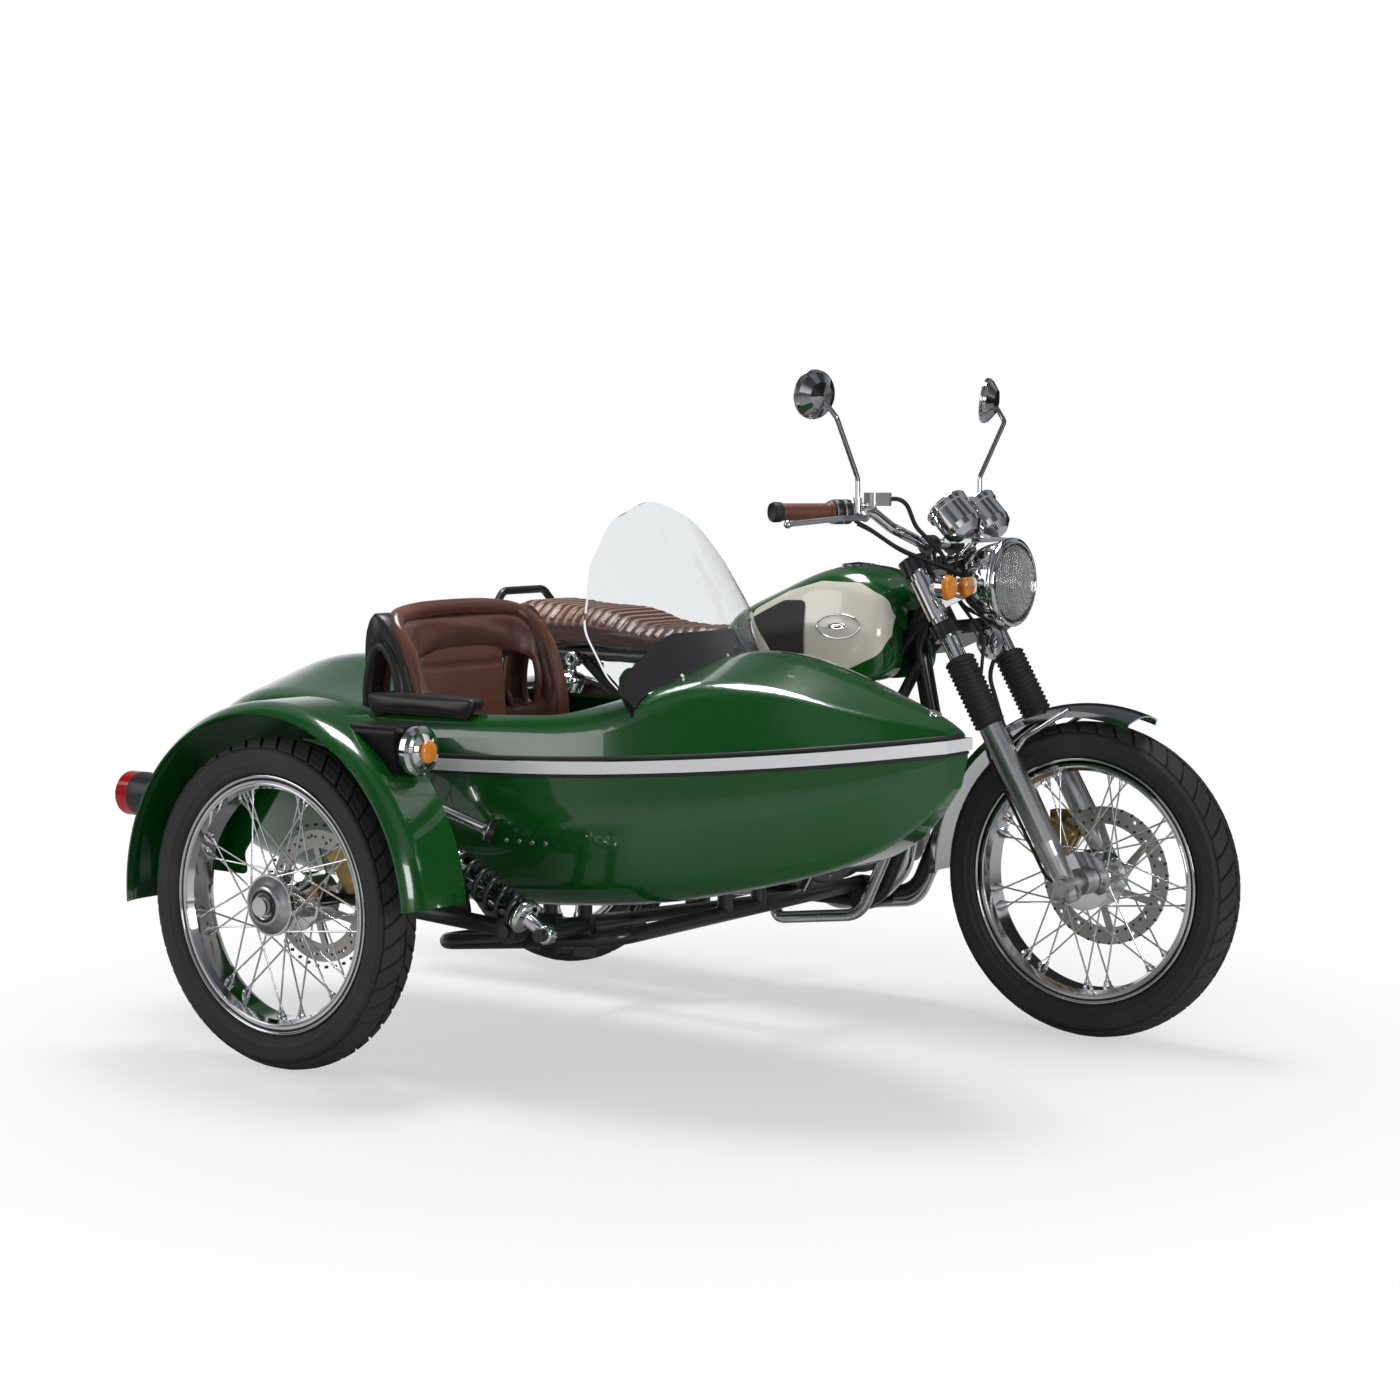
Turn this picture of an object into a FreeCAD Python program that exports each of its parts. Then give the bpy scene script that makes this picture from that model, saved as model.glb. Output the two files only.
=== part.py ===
import FreeCAD, Part
import math
import os

V = FreeCAD.Vector

# Sidecar motorcycle: a single-cylinder roadster with a passenger sidecar on its right side.
# While it is drawn, X points forward, Y to the rider's left and Z up, in millimetres, from the
# point on the ground under the rear axle.  At the end everything is moved together, so that
# the origin of the finished part is the middle of its footprint box on the ground.

# ------------------------------------------------------------------ stance and wheels
WHEELBASE = 1350.0          # rear axle to front axle
TRACK = 1150.0              # bike's wheels to the sidecar wheel
WHEEL_LEAD = 275.0          # sidecar axle ahead of the rear axle
TYRE_R = 313.0              # rolling radius, 18 inch wheels
TYRE_HALF = 48.0
RIM_R = 242.5               # outside of the rim flange
RIM_HALF = 34.0
BEAD_R = 228.0              # seat of the tyre on the rim
WELL_R = 217.0              # inner side of the rim
SPOKE_R = 1.8
SPOKES = 36
SPOKE_LEAN = 52.0           # degrees from a spoke's hub end to its rim end
HUB_FLANGE_R = 58.0
HUB_BARREL_R = 33.0
HUB_HALF = 32.0             # middle of each hub flange from the wheel's middle plane
FLANGE_T = 8.0
AXLE_R = 8.0
AXLE_FIT = 0.05             # radial running clearance of a hub on its axle
DISC_T = 5.0
FRONT_DISC_R = 138.0
FRONT_DISC_Y = 60.0         # left of the middle plane
SIDE_DISC_R = 126.0
SIDE_DISC_Y = 100.0         # towards the sidecar body
REAR_DISC_R = 115.0
REAR_DISC_Y = -62.0         # right of the middle plane
SPROCKET_R = 92.0
SPROCKET_Y = 75.0
SPROCKET_T = 7.0
DISC_HOLE_R = 4.0
DISC_HOLES = 18

# ------------------------------------------------------------------ steering
RAKE = 30.0                 # degrees back from upright
LEG_OFFSET = 50.0           # fork legs ahead of the steering axis
LEG_Y = 97.0                # fork legs each side of the middle
STANCHION_R = 18.0
SLIDER_R = 25.0
GAITER_R = 32.0
SLIDER_TOP = 346.0          # along the leg from the axle
GAITER_TOP = 500.0
LOWER_CLAMP = 560.0
UPPER_CLAMP = 706.0
CLAMP_T = 30.0
STEM_R = 14.0
HEAD_R = 27.0
HEAD_BORE = 20.0
BEARING_H = 12.0            # length of the stem's bearing at each end of the head

# ------------------------------------------------------------------ front end fittings
GUARD_R = 345.0             # inside of the front mudguard from its axle
GUARD_HALF = 60.0
GUARD_DROP = 12.0           # depth of the straight lip at each edge
GUARD_T = 3.0
NECK_X = WHEELBASE - 350.0  # middle of the handlebar clamps
LAMP_X = WHEELBASE - 167.0  # front of the headlamp glass
LAMP_Z = 893.0
LAMP_R = 88.0
BAR_R = 11.0
GRIP_R = 17.0
SIGNAL_Y = 133.0
GRIP_L = 122.0
BAR_RIGHT = [(NECK_X, 0, 966), (NECK_X, -62, 966), (NECK_X - 26, -150, 1003),
             (NECK_X - 47, -186, 1034), (NECK_X - 144, -376, 1035)]
BAR_BEND = 38.0
MIRROR_R = 48.0
MIRROR_FOOT = V(NECK_X - 50, -234, 1034)
MIRROR_RIGHT = [(NECK_X - 50, -234, 1046), (NECK_X - 50, -234, 1100), (NECK_X - 42, -322, 1218),
                (NECK_X - 66, -328, 1248)]
MIRROR_FACE = (NECK_X - 86, -329, 1262)
BRACKET_Z = 972.0           # underside of the gauge bracket
HORN = (WHEELBASE - 228.0, 772.0)   # face of the horn, forward and up
HORN_R = 35.0

# ------------------------------------------------------------------ bike body
TANK_TUNNEL_HALF = 42.0
TANK_TUNNEL_Z = 790.0
FRAME_R = 17.0
BACKBONE_Z = 752.0
CRADLE_Y = 68.0
CRADLE_Z = 232.0
CRADLE_FRONT = 900.0        # front corner of the cradle
CRADLE_R = 15.0
UPRIGHT_Y = 47.0            # frame uprights, inside the chain
PIVOT_X = 440.0
PIVOT_Z = 352.0
ARM_Y = 104.0
ARM_R = 17.0
ARM_BOSS = 30.0
SEAT_RAIL_Y = 105.0
SEAT_RAIL_Z = 712.0
CASE_BOTTOM = 268.0
CYL_X = 800.0
CYL_Z = 430.0
CYL_LEAN = 8.0
FINS = 11
FIN_PITCH = 15.0
FIN_T = 4.0
EXHAUST_Y = -204.0
GUARD_BAR_R = 12.5
GUARD_BAR_Y = 112.0

# ------------------------------------------------------------------ sidecar body
BODY_Y = -650.0             # middle plane of the sidecar body
BODY_HALF = 305.0
BODY_FLOOR = 292.0
NOSE_X = 1432.0
WALL = 6.0
SHEER_Z = 571.0             # height of the waist strip at the widest station
SEAM = 0.3                  # joint between the hull and the deck, under the strip
STRIP_T = 6.0
STRIP_H = 22.0
COCKPIT_REAR = 222.0
COCKPIT_FRONT = 900.0
COCKPIT_HALF = 250.0
COCKPIT_R = 190.0
RAIL_FRONT = 866.0          # front cross tube of the sidecar frame, and its height
RAIL_FRONT_Z = 272.0
RAIL_REAR = 432.0           # rear cross tube, and its height at the outer rail
RAIL_REAR_Z = 221.0
RAIL_Y = -905.0             # outer lower rail
RAIL_R = 15.0
ARM_PIVOT = (720.0, 290.0)  # pivot of the sidecar swinging arm, forward and up
SHOCK_LOW = (801.0, 290.0)  # front end of the sidecar spring unit, on the frame
SHOCK_HIGH = (560.0, 412.0) # rear end, on the lever of the swinging arm
SCREEN_R = 420.0
SCREEN_T = 4.0
SCREEN_X = 944.0            # foot of the screen on the middle plane
SCREEN_Z = 768.0
SCREEN_LEAN = 0.65          # run back for each unit of height
SCREEN_TOP = 1057.0
SCREEN_HALF = 264.0
MG_R = 380.0                # crown of the sidecar mudguard from its axle
MG_OUT = TRACK + 62.0       # outer lip, from the bike's middle plane
MG_IN = TRACK - 86.0
MG_T = 4.0
MG_LIP_R = 362.0

REAR = V(0, 0, TYRE_R)
FRONT = V(WHEELBASE, 0, TYRE_R)
SIDE = V(WHEEL_LEAD, -TRACK, TYRE_R)
X_AXIS = V(1, 0, 0)
Y_AXIS = V(0, 1, 0)
Z_AXIS = V(0, 0, 1)
LEG_DIR = V(-math.sin(math.radians(RAKE)), 0, math.cos(math.radians(RAKE)))
LEG_FWD = V(math.cos(math.radians(RAKE)), 0, math.sin(math.radians(RAKE)))

nodes = {}


# ------------------------------------------------------------------ shape helpers
def solid_of(shape):
    """One solid, or a compound when the pieces don't touch."""
    if len(shape.Solids) == 1:
        return shape.Solids[0]
    return Part.makeCompound(shape.Solids)


def join(shapes):
    out = shapes[0]
    if len(shapes) > 1:
        out = out.multiFuse(shapes[1:])
    return solid_of(out.removeSplitter())


def group(shapes):
    solids = []
    for shape in shapes:
        solids += shape.Solids
    return Part.makeCompound(solids)


def box(x0, x1, y0, y1, z0, z1):
    return Part.makeBox(x1 - x0, y1 - y0, z1 - z0, V(x0, y0, z0))


def rod(a, b, radius):
    a, b = V(*a), V(*b)
    return Part.makeCylinder(radius, (b - a).Length, a, b - a)


def disc(centre, axis, radius, thick):
    """A round plate, centred on its thickness."""
    axis = V(axis).normalize()
    return Part.makeCylinder(radius, thick, V(*centre) - axis * thick / 2, axis)


def rounded_edges(points, radii, closed):
    """Straight runs joined by tangent arcs; the radius of each corner is limited by its runs."""
    pts = [V(*p) for p in points]
    count = len(pts)
    corners = range(count) if closed else range(1, count - 1)
    cut = {}
    for i in corners:
        before, here, after = pts[i - 1], pts[i], pts[(i + 1) % count]
        u, w = (before - here), (after - here)
        short = min(u.Length, w.Length)
        u.normalize()
        w.normalize()
        half = u.getAngle(w) / 2
        if math.pi / 2 - half < 1e-3 or radii[i] <= 0:
            continue
        reach = min(radii[i] / math.tan(half), 0.46 * short)
        radius = reach * math.tan(half)
        bisector = (u + w).normalize()
        middle = here + bisector * (radius / math.sin(half) - radius)
        cut[i] = (here + u * reach, middle, here + w * reach)
    edges = []
    last = range(count) if closed else range(count - 1)
    for i in last:
        j = (i + 1) % count
        start = cut[i][2] if i in cut else pts[i]
        end = cut[j][0] if j in cut else pts[j]
        edges.append(Part.LineSegment(start, end).toShape())
        if j in cut and (closed or j < count - 1):
            edges.append(Part.Arc(*cut[j]).toShape())
    return edges


def tube(points, radius, bend=60.0, bore=0.0):
    """A round tube along a path of straight runs and arcs."""
    path = Part.Wire(rounded_edges(points, [bend] * len(points), False))
    start, after = V(*points[0]), V(*points[1])
    def swept(r):
        ring = Part.Wire([Part.Circle(start, after - start, r).toShape()])
        return path.makePipeShell([ring], True, False)
    pipe = swept(radius)
    return pipe.cut(swept(bore)) if bore else pipe


def loop(points, radii):
    """A closed wire of lines and corner arcs."""
    if not isinstance(radii, (list, tuple)):
        radii = [radii] * len(points)
    return Part.Wire(rounded_edges(points, radii, True))


def prism(wire, vector):
    return Part.Face(wire).extrude(V(*vector))


def loft(wires):
    return solid_of(Part.makeLoft(wires, True, False))


def turned(profile, centre, axis):
    """A solid of revolution.  Each row is (radius, along), or (radius, along, mid radius, mid
    along) for an arc that reaches the first pair through the second."""
    axis = V(*axis).normalize()
    side = V(0, 0, 1) if abs(axis.z) < 0.9 else V(1, 0, 0)
    side = (side - axis * side.dot(axis)).normalize()
    centre = V(*centre)
    def place(r, s):
        return centre + side * r + axis * s
    edges = []
    before = place(*profile[-1][:2])
    for row in profile:
        here = place(*row[:2])
        if len(row) == 4:
            edges.append(Part.Arc(before, place(*row[2:]), here).toShape())
        else:
            edges.append(Part.LineSegment(before, here).toShape())
        before = here
    face = Part.Face(Part.Wire(edges))
    return solid_of(face.revolve(centre, axis, 360))


def cap(radius, base, tip):
    """The last row of a profile: a spherical cap from a rim to its tip on the axis."""
    rise = abs(tip - base)
    sphere = (radius ** 2 + rise ** 2) / (2 * rise)
    sign = 1 if tip > base else -1
    half = math.acos(1 - rise / sphere) / 2
    return (0, tip, sphere * math.sin(half), tip - sign * sphere * (1 - math.cos(half)))


def mirrored(shape):
    """The same piece on the other side of the bike."""
    return shape.mirror(V(0, 0, 0), Y_AXIS)


def both_sides(shape):
    return [shape, mirrored(shape)]


def arc_prism(centre, r_in, r_out, y0, y1, a0, a1):
    """Part of a ring about an axle, between two angles from straight ahead, up being 90."""
    def at(r, a):
        rad = math.radians(a)
        return V(centre.x + r * math.cos(rad), y0, centre.z + r * math.sin(rad))
    mid = (a0 + a1) / 2
    edges = [Part.Arc(at(r_in, a0), at(r_in, mid), at(r_in, a1)).toShape(),
             Part.LineSegment(at(r_in, a1), at(r_out, a1)).toShape(),
             Part.Arc(at(r_out, a1), at(r_out, mid), at(r_out, a0)).toShape(),
             Part.LineSegment(at(r_out, a0), at(r_in, a0)).toShape()]
    return Part.Face(Part.Wire(edges)).extrude(V(0, y1 - y0, 0))


def channel(centre, crown, half, drop, thick, a0, a1):
    """A mudguard blade: an arched strip about an axle with a straight lip along each side."""
    shoulder = crown - half * 0.2
    lip = shoulder - drop
    ring = turned([(lip, -half), (shoulder, -half), (shoulder, half, crown, 0), (lip, half),
                   (lip, half - thick),
                   (shoulder - thick, half - thick), (shoulder - thick, thick - half, crown - thick, 0),
                   (lip, thick - half)], centre, Y_AXIS)
    return solid_of(ring.common(arc_prism(centre, lip - 40, crown + 20, -half - 10, half + 10, a0, a1)))


def leg_point(along, y=0.0, ahead=0.0):
    """A point on the fork: along the legs from the axle, sideways, and ahead of the legs."""
    return FRONT + LEG_DIR * along + V(0, y, 0) + LEG_FWD * ahead


def section(x, y0, corners, radii):
    """A cross-section in the plane X = x from (sideways, height) corners."""
    return loop([(x, y0 + y, z) for y, z in corners], radii)


# ------------------------------------------------------------------ wheels
def tyre(centre):
    shoulder = TYRE_R - 15
    wall = (BEAD_R + shoulder) / 2 + 10
    profile = [(BEAD_R, -RIM_HALF + 4.3), (BEAD_R, RIM_HALF - 4.3), (RIM_R + 1, RIM_HALF - 4.3),
               (wall, TYRE_HALF, RIM_R + 8, TYRE_HALF - 7), (shoulder, TYRE_HALF - 6),
               (TYRE_R, 0, TYRE_R - 4.5, TYRE_HALF / 2), (shoulder, -TYRE_HALF + 6, TYRE_R - 4.5,
                                                          -TYRE_HALF / 2),
               (wall, -TYRE_HALF), (RIM_R + 1, -RIM_HALF + 4.3, RIM_R + 8, -TYRE_HALF + 7)]
    return turned(profile, centre, Y_AXIS)


def spoked_wheel(centre, disc_y, disc_r, bore_r):
    """Chrome rim, spokes and hub with its brake disc, as one piece."""
    rim = turned([(WELL_R, -RIM_HALF + 12), (WELL_R, RIM_HALF - 12), (BEAD_R - 5, RIM_HALF),
                  (RIM_R, RIM_HALF), (RIM_R, RIM_HALF - 4), (BEAD_R, RIM_HALF - 4),
                  (BEAD_R, -RIM_HALF + 4), (RIM_R, -RIM_HALF + 4), (RIM_R, -RIM_HALF),
                  (BEAD_R - 5, -RIM_HALF)], centre, Y_AXIS)
    hub_end = HUB_HALF + FLANGE_T / 2
    hub = turned([(bore_r, -hub_end), (HUB_FLANGE_R, -hub_end), (HUB_FLANGE_R, -hub_end + FLANGE_T),
                  (HUB_BARREL_R, -hub_end + FLANGE_T + 8), (HUB_BARREL_R, hub_end - FLANGE_T - 8),
                  (HUB_FLANGE_R, hub_end - FLANGE_T), (HUB_FLANGE_R, hub_end), (bore_r, hub_end)],
                 centre, Y_AXIS)
    pieces = [rim, hub]
    for i in range(SPOKES):
        side = 1 if i % 2 else -1
        lean = SPOKE_LEAN if (i // 2) % 2 else -SPOKE_LEAN
        a_hub = math.radians(360.0 * i / SPOKES)
        a_rim = a_hub + math.radians(lean)
        r0, r1 = HUB_FLANGE_R - 4, WELL_R + 2
        start = centre + V(r0 * math.cos(a_hub), side * HUB_HALF, r0 * math.sin(a_hub))
        end = centre + V(r1 * math.cos(a_rim), side * 6, r1 * math.sin(a_rim))
        pieces.append(rod(start, end, SPOKE_R))
    inner = disc_r - 34
    plate = disc(centre + V(0, disc_y, 0), Y_AXIS, disc_r, DISC_T)
    plate = plate.cut(disc(centre + V(0, disc_y, 0), Y_AXIS, inner, DISC_T * 2))
    pieces.append(plate)
    sign = 1 if disc_y > 0 else -1
    reach = abs(disc_y) + DISC_T / 2 - hub_end
    carrier = turned([(bore_r, 0), (HUB_FLANGE_R - 6, 0), (HUB_FLANGE_R - 10, reach - 6),
                      (HUB_FLANGE_R - 10, reach), (bore_r, reach)],
                     centre + V(0, sign * hub_end, 0), V(0, sign, 0))
    pieces.append(carrier)
    for i in range(6):
        a = math.radians(60.0 * i + 15)
        b = a + math.radians(22)
        foot = centre + V(40 * math.cos(a), disc_y, 40 * math.sin(a))
        tip = centre + V((inner + 6) * math.cos(b), disc_y, (inner + 6) * math.sin(b))
        along = (tip - foot).normalize()
        across = along.cross(Y_AXIS) * 7
        low = V(0, -DISC_T / 2, 0)
        arm = Part.makePolygon([foot + across + low, tip + across + low, tip - across + low,
                                foot - across + low, foot + across + low])
        pieces.append(Part.Face(arm).extrude(V(0, DISC_T, 0)))
    wheel = join(pieces)
    holes = []
    for i in range(DISC_HOLES):
        a = math.radians(360.0 * i / DISC_HOLES)
        r = disc_r - (11 if i % 2 else 22)
        holes.append(disc(centre + V(r * math.cos(a), disc_y, r * math.sin(a)), Y_AXIS, DISC_HOLE_R,
                          DISC_T * 3))
    return solid_of(wheel.cut(holes))


def make_wheels():
    bore = AXLE_R + AXLE_FIT
    nodes["front_tyre"] = tyre(FRONT)
    nodes["rear_tyre"] = tyre(REAR)
    nodes["sidecar_tyre"] = tyre(SIDE)
    nodes["front_wheel"] = spoked_wheel(FRONT, FRONT_DISC_Y, FRONT_DISC_R, bore)
    nodes["sidecar_wheel"] = spoked_wheel(SIDE, SIDE_DISC_Y, SIDE_DISC_R, bore)
    rear = spoked_wheel(REAR, REAR_DISC_Y, REAR_DISC_R, bore)
    hub_end = HUB_HALF + FLANGE_T / 2
    boss = turned([(bore, hub_end), (42, hub_end), (42, SPROCKET_Y - SPROCKET_T / 2),
                   (SPROCKET_R - 6, SPROCKET_Y - SPROCKET_T / 2), (SPROCKET_R, SPROCKET_Y - 1),
                   (SPROCKET_R, SPROCKET_Y + 1), (SPROCKET_R - 6, SPROCKET_Y + SPROCKET_T / 2),
                   (bore, SPROCKET_Y + SPROCKET_T / 2)], REAR, Y_AXIS)
    nodes["rear_wheel"] = join([rear, boss])


# ------------------------------------------------------------------ fork
def make_fork():
    legs, gaiters, sliders = [], [], []
    for side in (-1, 1):
        y = side * LEG_Y
        legs.append(rod(leg_point(SLIDER_TOP - 60, y), leg_point(UPPER_CLAMP + CLAMP_T / 2 + 4, y),
                        STANCHION_R))
        rows = [(STANCHION_R, 0), (GAITER_R, 4)]
        rings = 9
        pitch = (GAITER_TOP - SLIDER_TOP - 8) / rings
        for i in range(rings):
            rows.append((GAITER_R - 7, 4 + pitch * (i + 0.55)))
            rows.append((GAITER_R - (0 if i < rings - 1 else 6), 4 + pitch * (i + 1)))
        rows.append((STANCHION_R, GAITER_TOP - SLIDER_TOP))
        gaiters.append(turned(rows, leg_point(SLIDER_TOP, y), LEG_DIR))
        slider = turned([(STANCHION_R, SLIDER_TOP), (STANCHION_R, SLIDER_TOP - 60),
                         (0, SLIDER_TOP - 60),
                         (0, -34), (13, -34), (20, -24), (21, 60), (SLIDER_R, 90), (SLIDER_R,
                                                                                    SLIDER_TOP)],
                        leg_point(0, y), LEG_DIR)
        lug = disc(leg_point(0, y), Y_AXIS, 21, SLIDER_R * 2 - 8)
        sliders += [slider, lug]
    nodes["fork_stanchions"] = group(legs)
    nodes["fork_gaiters"] = group(gaiters)
    axle = rod(FRONT + V(0, -LEG_Y - 34, 0), FRONT + V(0, LEG_Y + 34, 0), AXLE_R)
    hub_end = HUB_HALF + FLANGE_T / 2
    gap = 0.6
    right = rod(FRONT - V(0, hub_end + gap, 0), FRONT - V(0, LEG_Y - 5, 0), 14)
    left = rod(FRONT + V(0, FRONT_DISC_Y + DISC_T / 2 + gap, 0), FRONT + V(0, LEG_Y - 5, 0), 14)
    drive = rod(FRONT - V(0, hub_end + gap, 0), FRONT - V(0, hub_end + 22, 0), 27)
    nut = Part.makeCylinder(15, 12, FRONT - V(0, LEG_Y + 20, 0), V(0, -1, 0))
    head = Part.makeCylinder(14, 12, FRONT + V(0, LEG_Y + 20, 0), Y_AXIS)
    nodes["fork_sliders"] = join(sliders + [axle, right, left, drive, nut, head])

    clamps = []
    for along, ahead, half, behind in ((LOWER_CLAMP, 14, 40, 28), (UPPER_CLAMP, 10, 24, 18)):
        y = LEG_Y
        plate = [leg_point(along - CLAMP_T / 2, -y - 8, ahead),
                 leg_point(along - CLAMP_T / 2, y + 8, ahead),
                 leg_point(along - CLAMP_T / 2, half, -LEG_OFFSET - behind),
                 leg_point(along - CLAMP_T / 2, -half, -LEG_OFFSET - behind)]
        clamps.append(prism(loop(plate, [14, 14, 20, 20]), LEG_DIR * CLAMP_T))
        for side in (-1, 1):
            clamps.append(disc(leg_point(along, side * y), LEG_DIR, STANCHION_R + 11, CLAMP_T))
    stem = rod(leg_point(LOWER_CLAMP, 0, -LEG_OFFSET), leg_point(UPPER_CLAMP, 0, -LEG_OFFSET), STEM_R)
    clamps.append(stem)
    body = join(clamps)
    for side in (-1, 1):
        body = body.cut(rod(leg_point(LOWER_CLAMP - 60, side * LEG_Y),
                            leg_point(UPPER_CLAMP + 60, side * LEG_Y),
                            STANCHION_R))
    risers = []
    for side in (-1, 1):
        centre = V(BAR_RIGHT[0][0], side * 46, BAR_RIGHT[0][2])
        foot = centre + V(4, 0, -50)
        risers.append(rod(foot, centre, 13))
        risers.append(disc(centre, Y_AXIS, BAR_R + 9, 26).cut(disc(centre, Y_AXIS, BAR_R, 30)))
    for i in (0, 2):
        risers[i] = risers[i].cut(disc(V(BAR_RIGHT[0][0], 0, BAR_RIGHT[0][2]), Y_AXIS, BAR_R, 200))
    nodes["fork_clamps"] = join([solid_of(body)] + risers)


def make_front_mudguard():
    shell = channel(FRONT, GUARD_R + GUARD_T, GUARD_HALF, GUARD_DROP, GUARD_T, 71, 182)
    stays = []
    for side in (-1, 1):
        y = side * (GUARD_HALF - 1)
        leg = leg_point(SLIDER_TOP - 70, side * (LEG_Y - SLIDER_R + 4))
        high = FRONT + V(-20, y, GUARD_R - 6)
        stays.append(tube([leg, (leg.x + 22, y + side * 4, leg.z + 40), (high.x, high.y, high.z)], 5,
                          20))
    nodes["front_mudguard"] = solid_of(join([shell] + stays).cut(nodes["fork_sliders"]))


def make_headlamp():
    axis = V(1, 0, 0)
    centre = V(LAMP_X, 0, LAMP_Z)
    bucket = turned([(0, -120), (34, -118), (LAMP_R - 8, -34, LAMP_R - 22, -86),
                     (LAMP_R, -30), (LAMP_R, -16), (LAMP_R - 9, -10), (LAMP_R - 9, -30), (0, -30)],
                    centre, axis)
    ears = []
    for side in (-1, 1):
        start = V(LAMP_X - 52, side * (LAMP_R - 18), LAMP_Z)
        leg = leg_point(632, side * LEG_Y)
        ears.append(rod(start, (LAMP_X - 52, side * (LEG_Y + 4), LAMP_Z), 9))
        bar = [(LAMP_X - 40, side * (LEG_Y - 2), LAMP_Z - 16),
               (LAMP_X - 40, side * (LEG_Y - 2), LAMP_Z + 16),
               (leg.x, side * (LEG_Y - 2), leg.z + 34), (leg.x, side * (LEG_Y - 2), leg.z - 34)]
        plate = prism(loop(bar, 12), (0, side * 5, 0))
        sleeve = rod(leg_point(588, side * LEG_Y), leg_point(676, side * LEG_Y), STANCHION_R + 5)
        ears += [plate, sleeve]
    body = join([bucket] + ears)
    for side in (-1, 1):
        body = body.cut(rod(leg_point(500, side * LEG_Y), leg_point(760, side * LEG_Y), STANCHION_R))
    nodes["headlamp"] = solid_of(body)
    nodes["headlamp_glass"] = turned([(0, -26), (LAMP_R - 10, -26), (LAMP_R - 10, -12),
                                      cap(LAMP_R - 10, -12, 0)], centre, axis)


def make_gauges():
    face = V(-0.70, 0, 0.714)
    pods = []
    for side in (-1, 1):
        centre = V(NECK_X + 48, side * 56, 1040)
        pods.append(turned([(0, -74), (24, -74), (38, -62), (41, -50), (41, -8), (45, -6), (45, 4),
                            (0, 4)],
                           centre, face))
    bracket = box(NECK_X + 50, NECK_X + 112, -70, 70, BRACKET_Z, BRACKET_Z + 8)
    strut = tube([(NECK_X + 80, 0, BRACKET_Z + 4), (NECK_X + 52, 0, 946),
                  tuple(leg_point(UPPER_CLAMP + 4, 0, 6))], 8, 20)
    nodes["gauges"] = solid_of(join(pods + [bracket, strut]).cut(nodes["fork_clamps"]))


def make_horn():
    centre = V(HORN[0], 0, HORN[1])
    body = turned([(0, -26), (20, -26), (32, -14), (HORN_R, -4), (HORN_R, 4), (HORN_R - 6, 6), (0, 2)],
                  centre, X_AXIS)
    bracket = rod(centre - V(24, 0, 0), leg_point(LOWER_CLAMP, 0, 8), 6)
    nodes["horn"] = solid_of(join([body, bracket]).cut(nodes["fork_clamps"]))


def make_handlebar():
    left = [(x, -y, z) for x, y, z in BAR_RIGHT[1:]]
    points = list(reversed(left)) + BAR_RIGHT[1:]
    nodes["handlebar"] = solid_of(tube(points, BAR_R, BAR_BEND).cut(nodes["fork_clamps"]))
    a, b = V(*BAR_RIGHT[-2]), V(*BAR_RIGHT[-1])
    along = (b - a).normalize()
    inner = b - along * GRIP_L
    grip = turned([(BAR_R, 0), (GRIP_R + 5, 0), (GRIP_R + 5, 6), (GRIP_R, 9), (GRIP_R, GRIP_L - 8),
                   (GRIP_R + 3, GRIP_L - 4), (GRIP_R + 3, GRIP_L + 12), (0, GRIP_L + 12), (0, GRIP_L),
                   (BAR_R, GRIP_L)], inner, along)
    nodes["grips"] = group(both_sides(grip))
    across = along.cross(Z_AXIS).normalize()
    if across.x < 0:
        across = across * -1
    pieces = []
    switch = inner - along * 20
    pieces.append(disc(switch, along, 24, 38))
    perch = inner - along * 62
    pieces.append(disc(perch, along, 18, 22))
    root = perch + across * 26 + V(0, 0, -12)
    tip = b + across * 44 + V(0, 0, -23)
    elbow = root + along * 60 + across * 12
    pieces.append(rod(perch, root, 9))
    pieces.append(tube([root, elbow, tip], 5.5, 30))
    pieces.append(Part.makeSphere(8, tip))
    pieces.append(rod(inner - along * 55, inner, 15))
    core = join(pieces).cut(rod(a, b, BAR_R))
    master = inner - along * 86
    tank = prism(loop([master + across * 8 + along * -26 + V(0, 0, 12),
                       master + across * 8 + along * 22 + V(0, 0, 12),
                       master + across * 46 + along * 22 + V(0, 0, 12),
                       master + across * 46 + along * -26 + V(0, 0, 12)], 8), (0, 0, 26))
    neck = rod(perch + across * 8, master + across * 22 + V(0, 0, 14), 8).cut(rod(a, b, BAR_R))
    right = join([solid_of(core), tank, neck])
    nodes["hand_controls"] = group([right, mirrored(solid_of(core))])
    stem = tube(MIRROR_RIGHT, 5, 16)
    head_dir = V(-0.92, 0.30, 0.12).normalize()
    face = V(*MIRROR_FACE)
    head = turned([(0, -24), (26, -18), (MIRROR_R - 4, -4), (MIRROR_R, 2), (MIRROR_R, 8), (0, 8)], face,
                  head_dir)
    foot = rod(MIRROR_FOOT, MIRROR_FOOT + V(0, 0, 28), 9)
    foot = foot.cut(rod(a, b, 19))
    mirror = join([stem, head, foot]).cut(right)
    nodes["mirrors"] = group(both_sides(solid_of(mirror)))


def make_front_signals():
    pieces = []
    for side in (-1, 1):
        y = side * SIGNAL_Y
        lamp = turned([(0, -38), (12, -34), (24, -16), (26, 0), (23, 8), cap(23, 8, 13)],
                      (NECK_X + 96, y, 886), X_AXIS)
        stalk = rod((NECK_X + 84, side * (LEG_Y + 3), 889), (NECK_X + 84, y, 889), 7)
        pieces.append(join([lamp, stalk]))
    nodes["front_signals"] = group([solid_of(p.cut(nodes["headlamp"])) for p in pieces])


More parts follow.
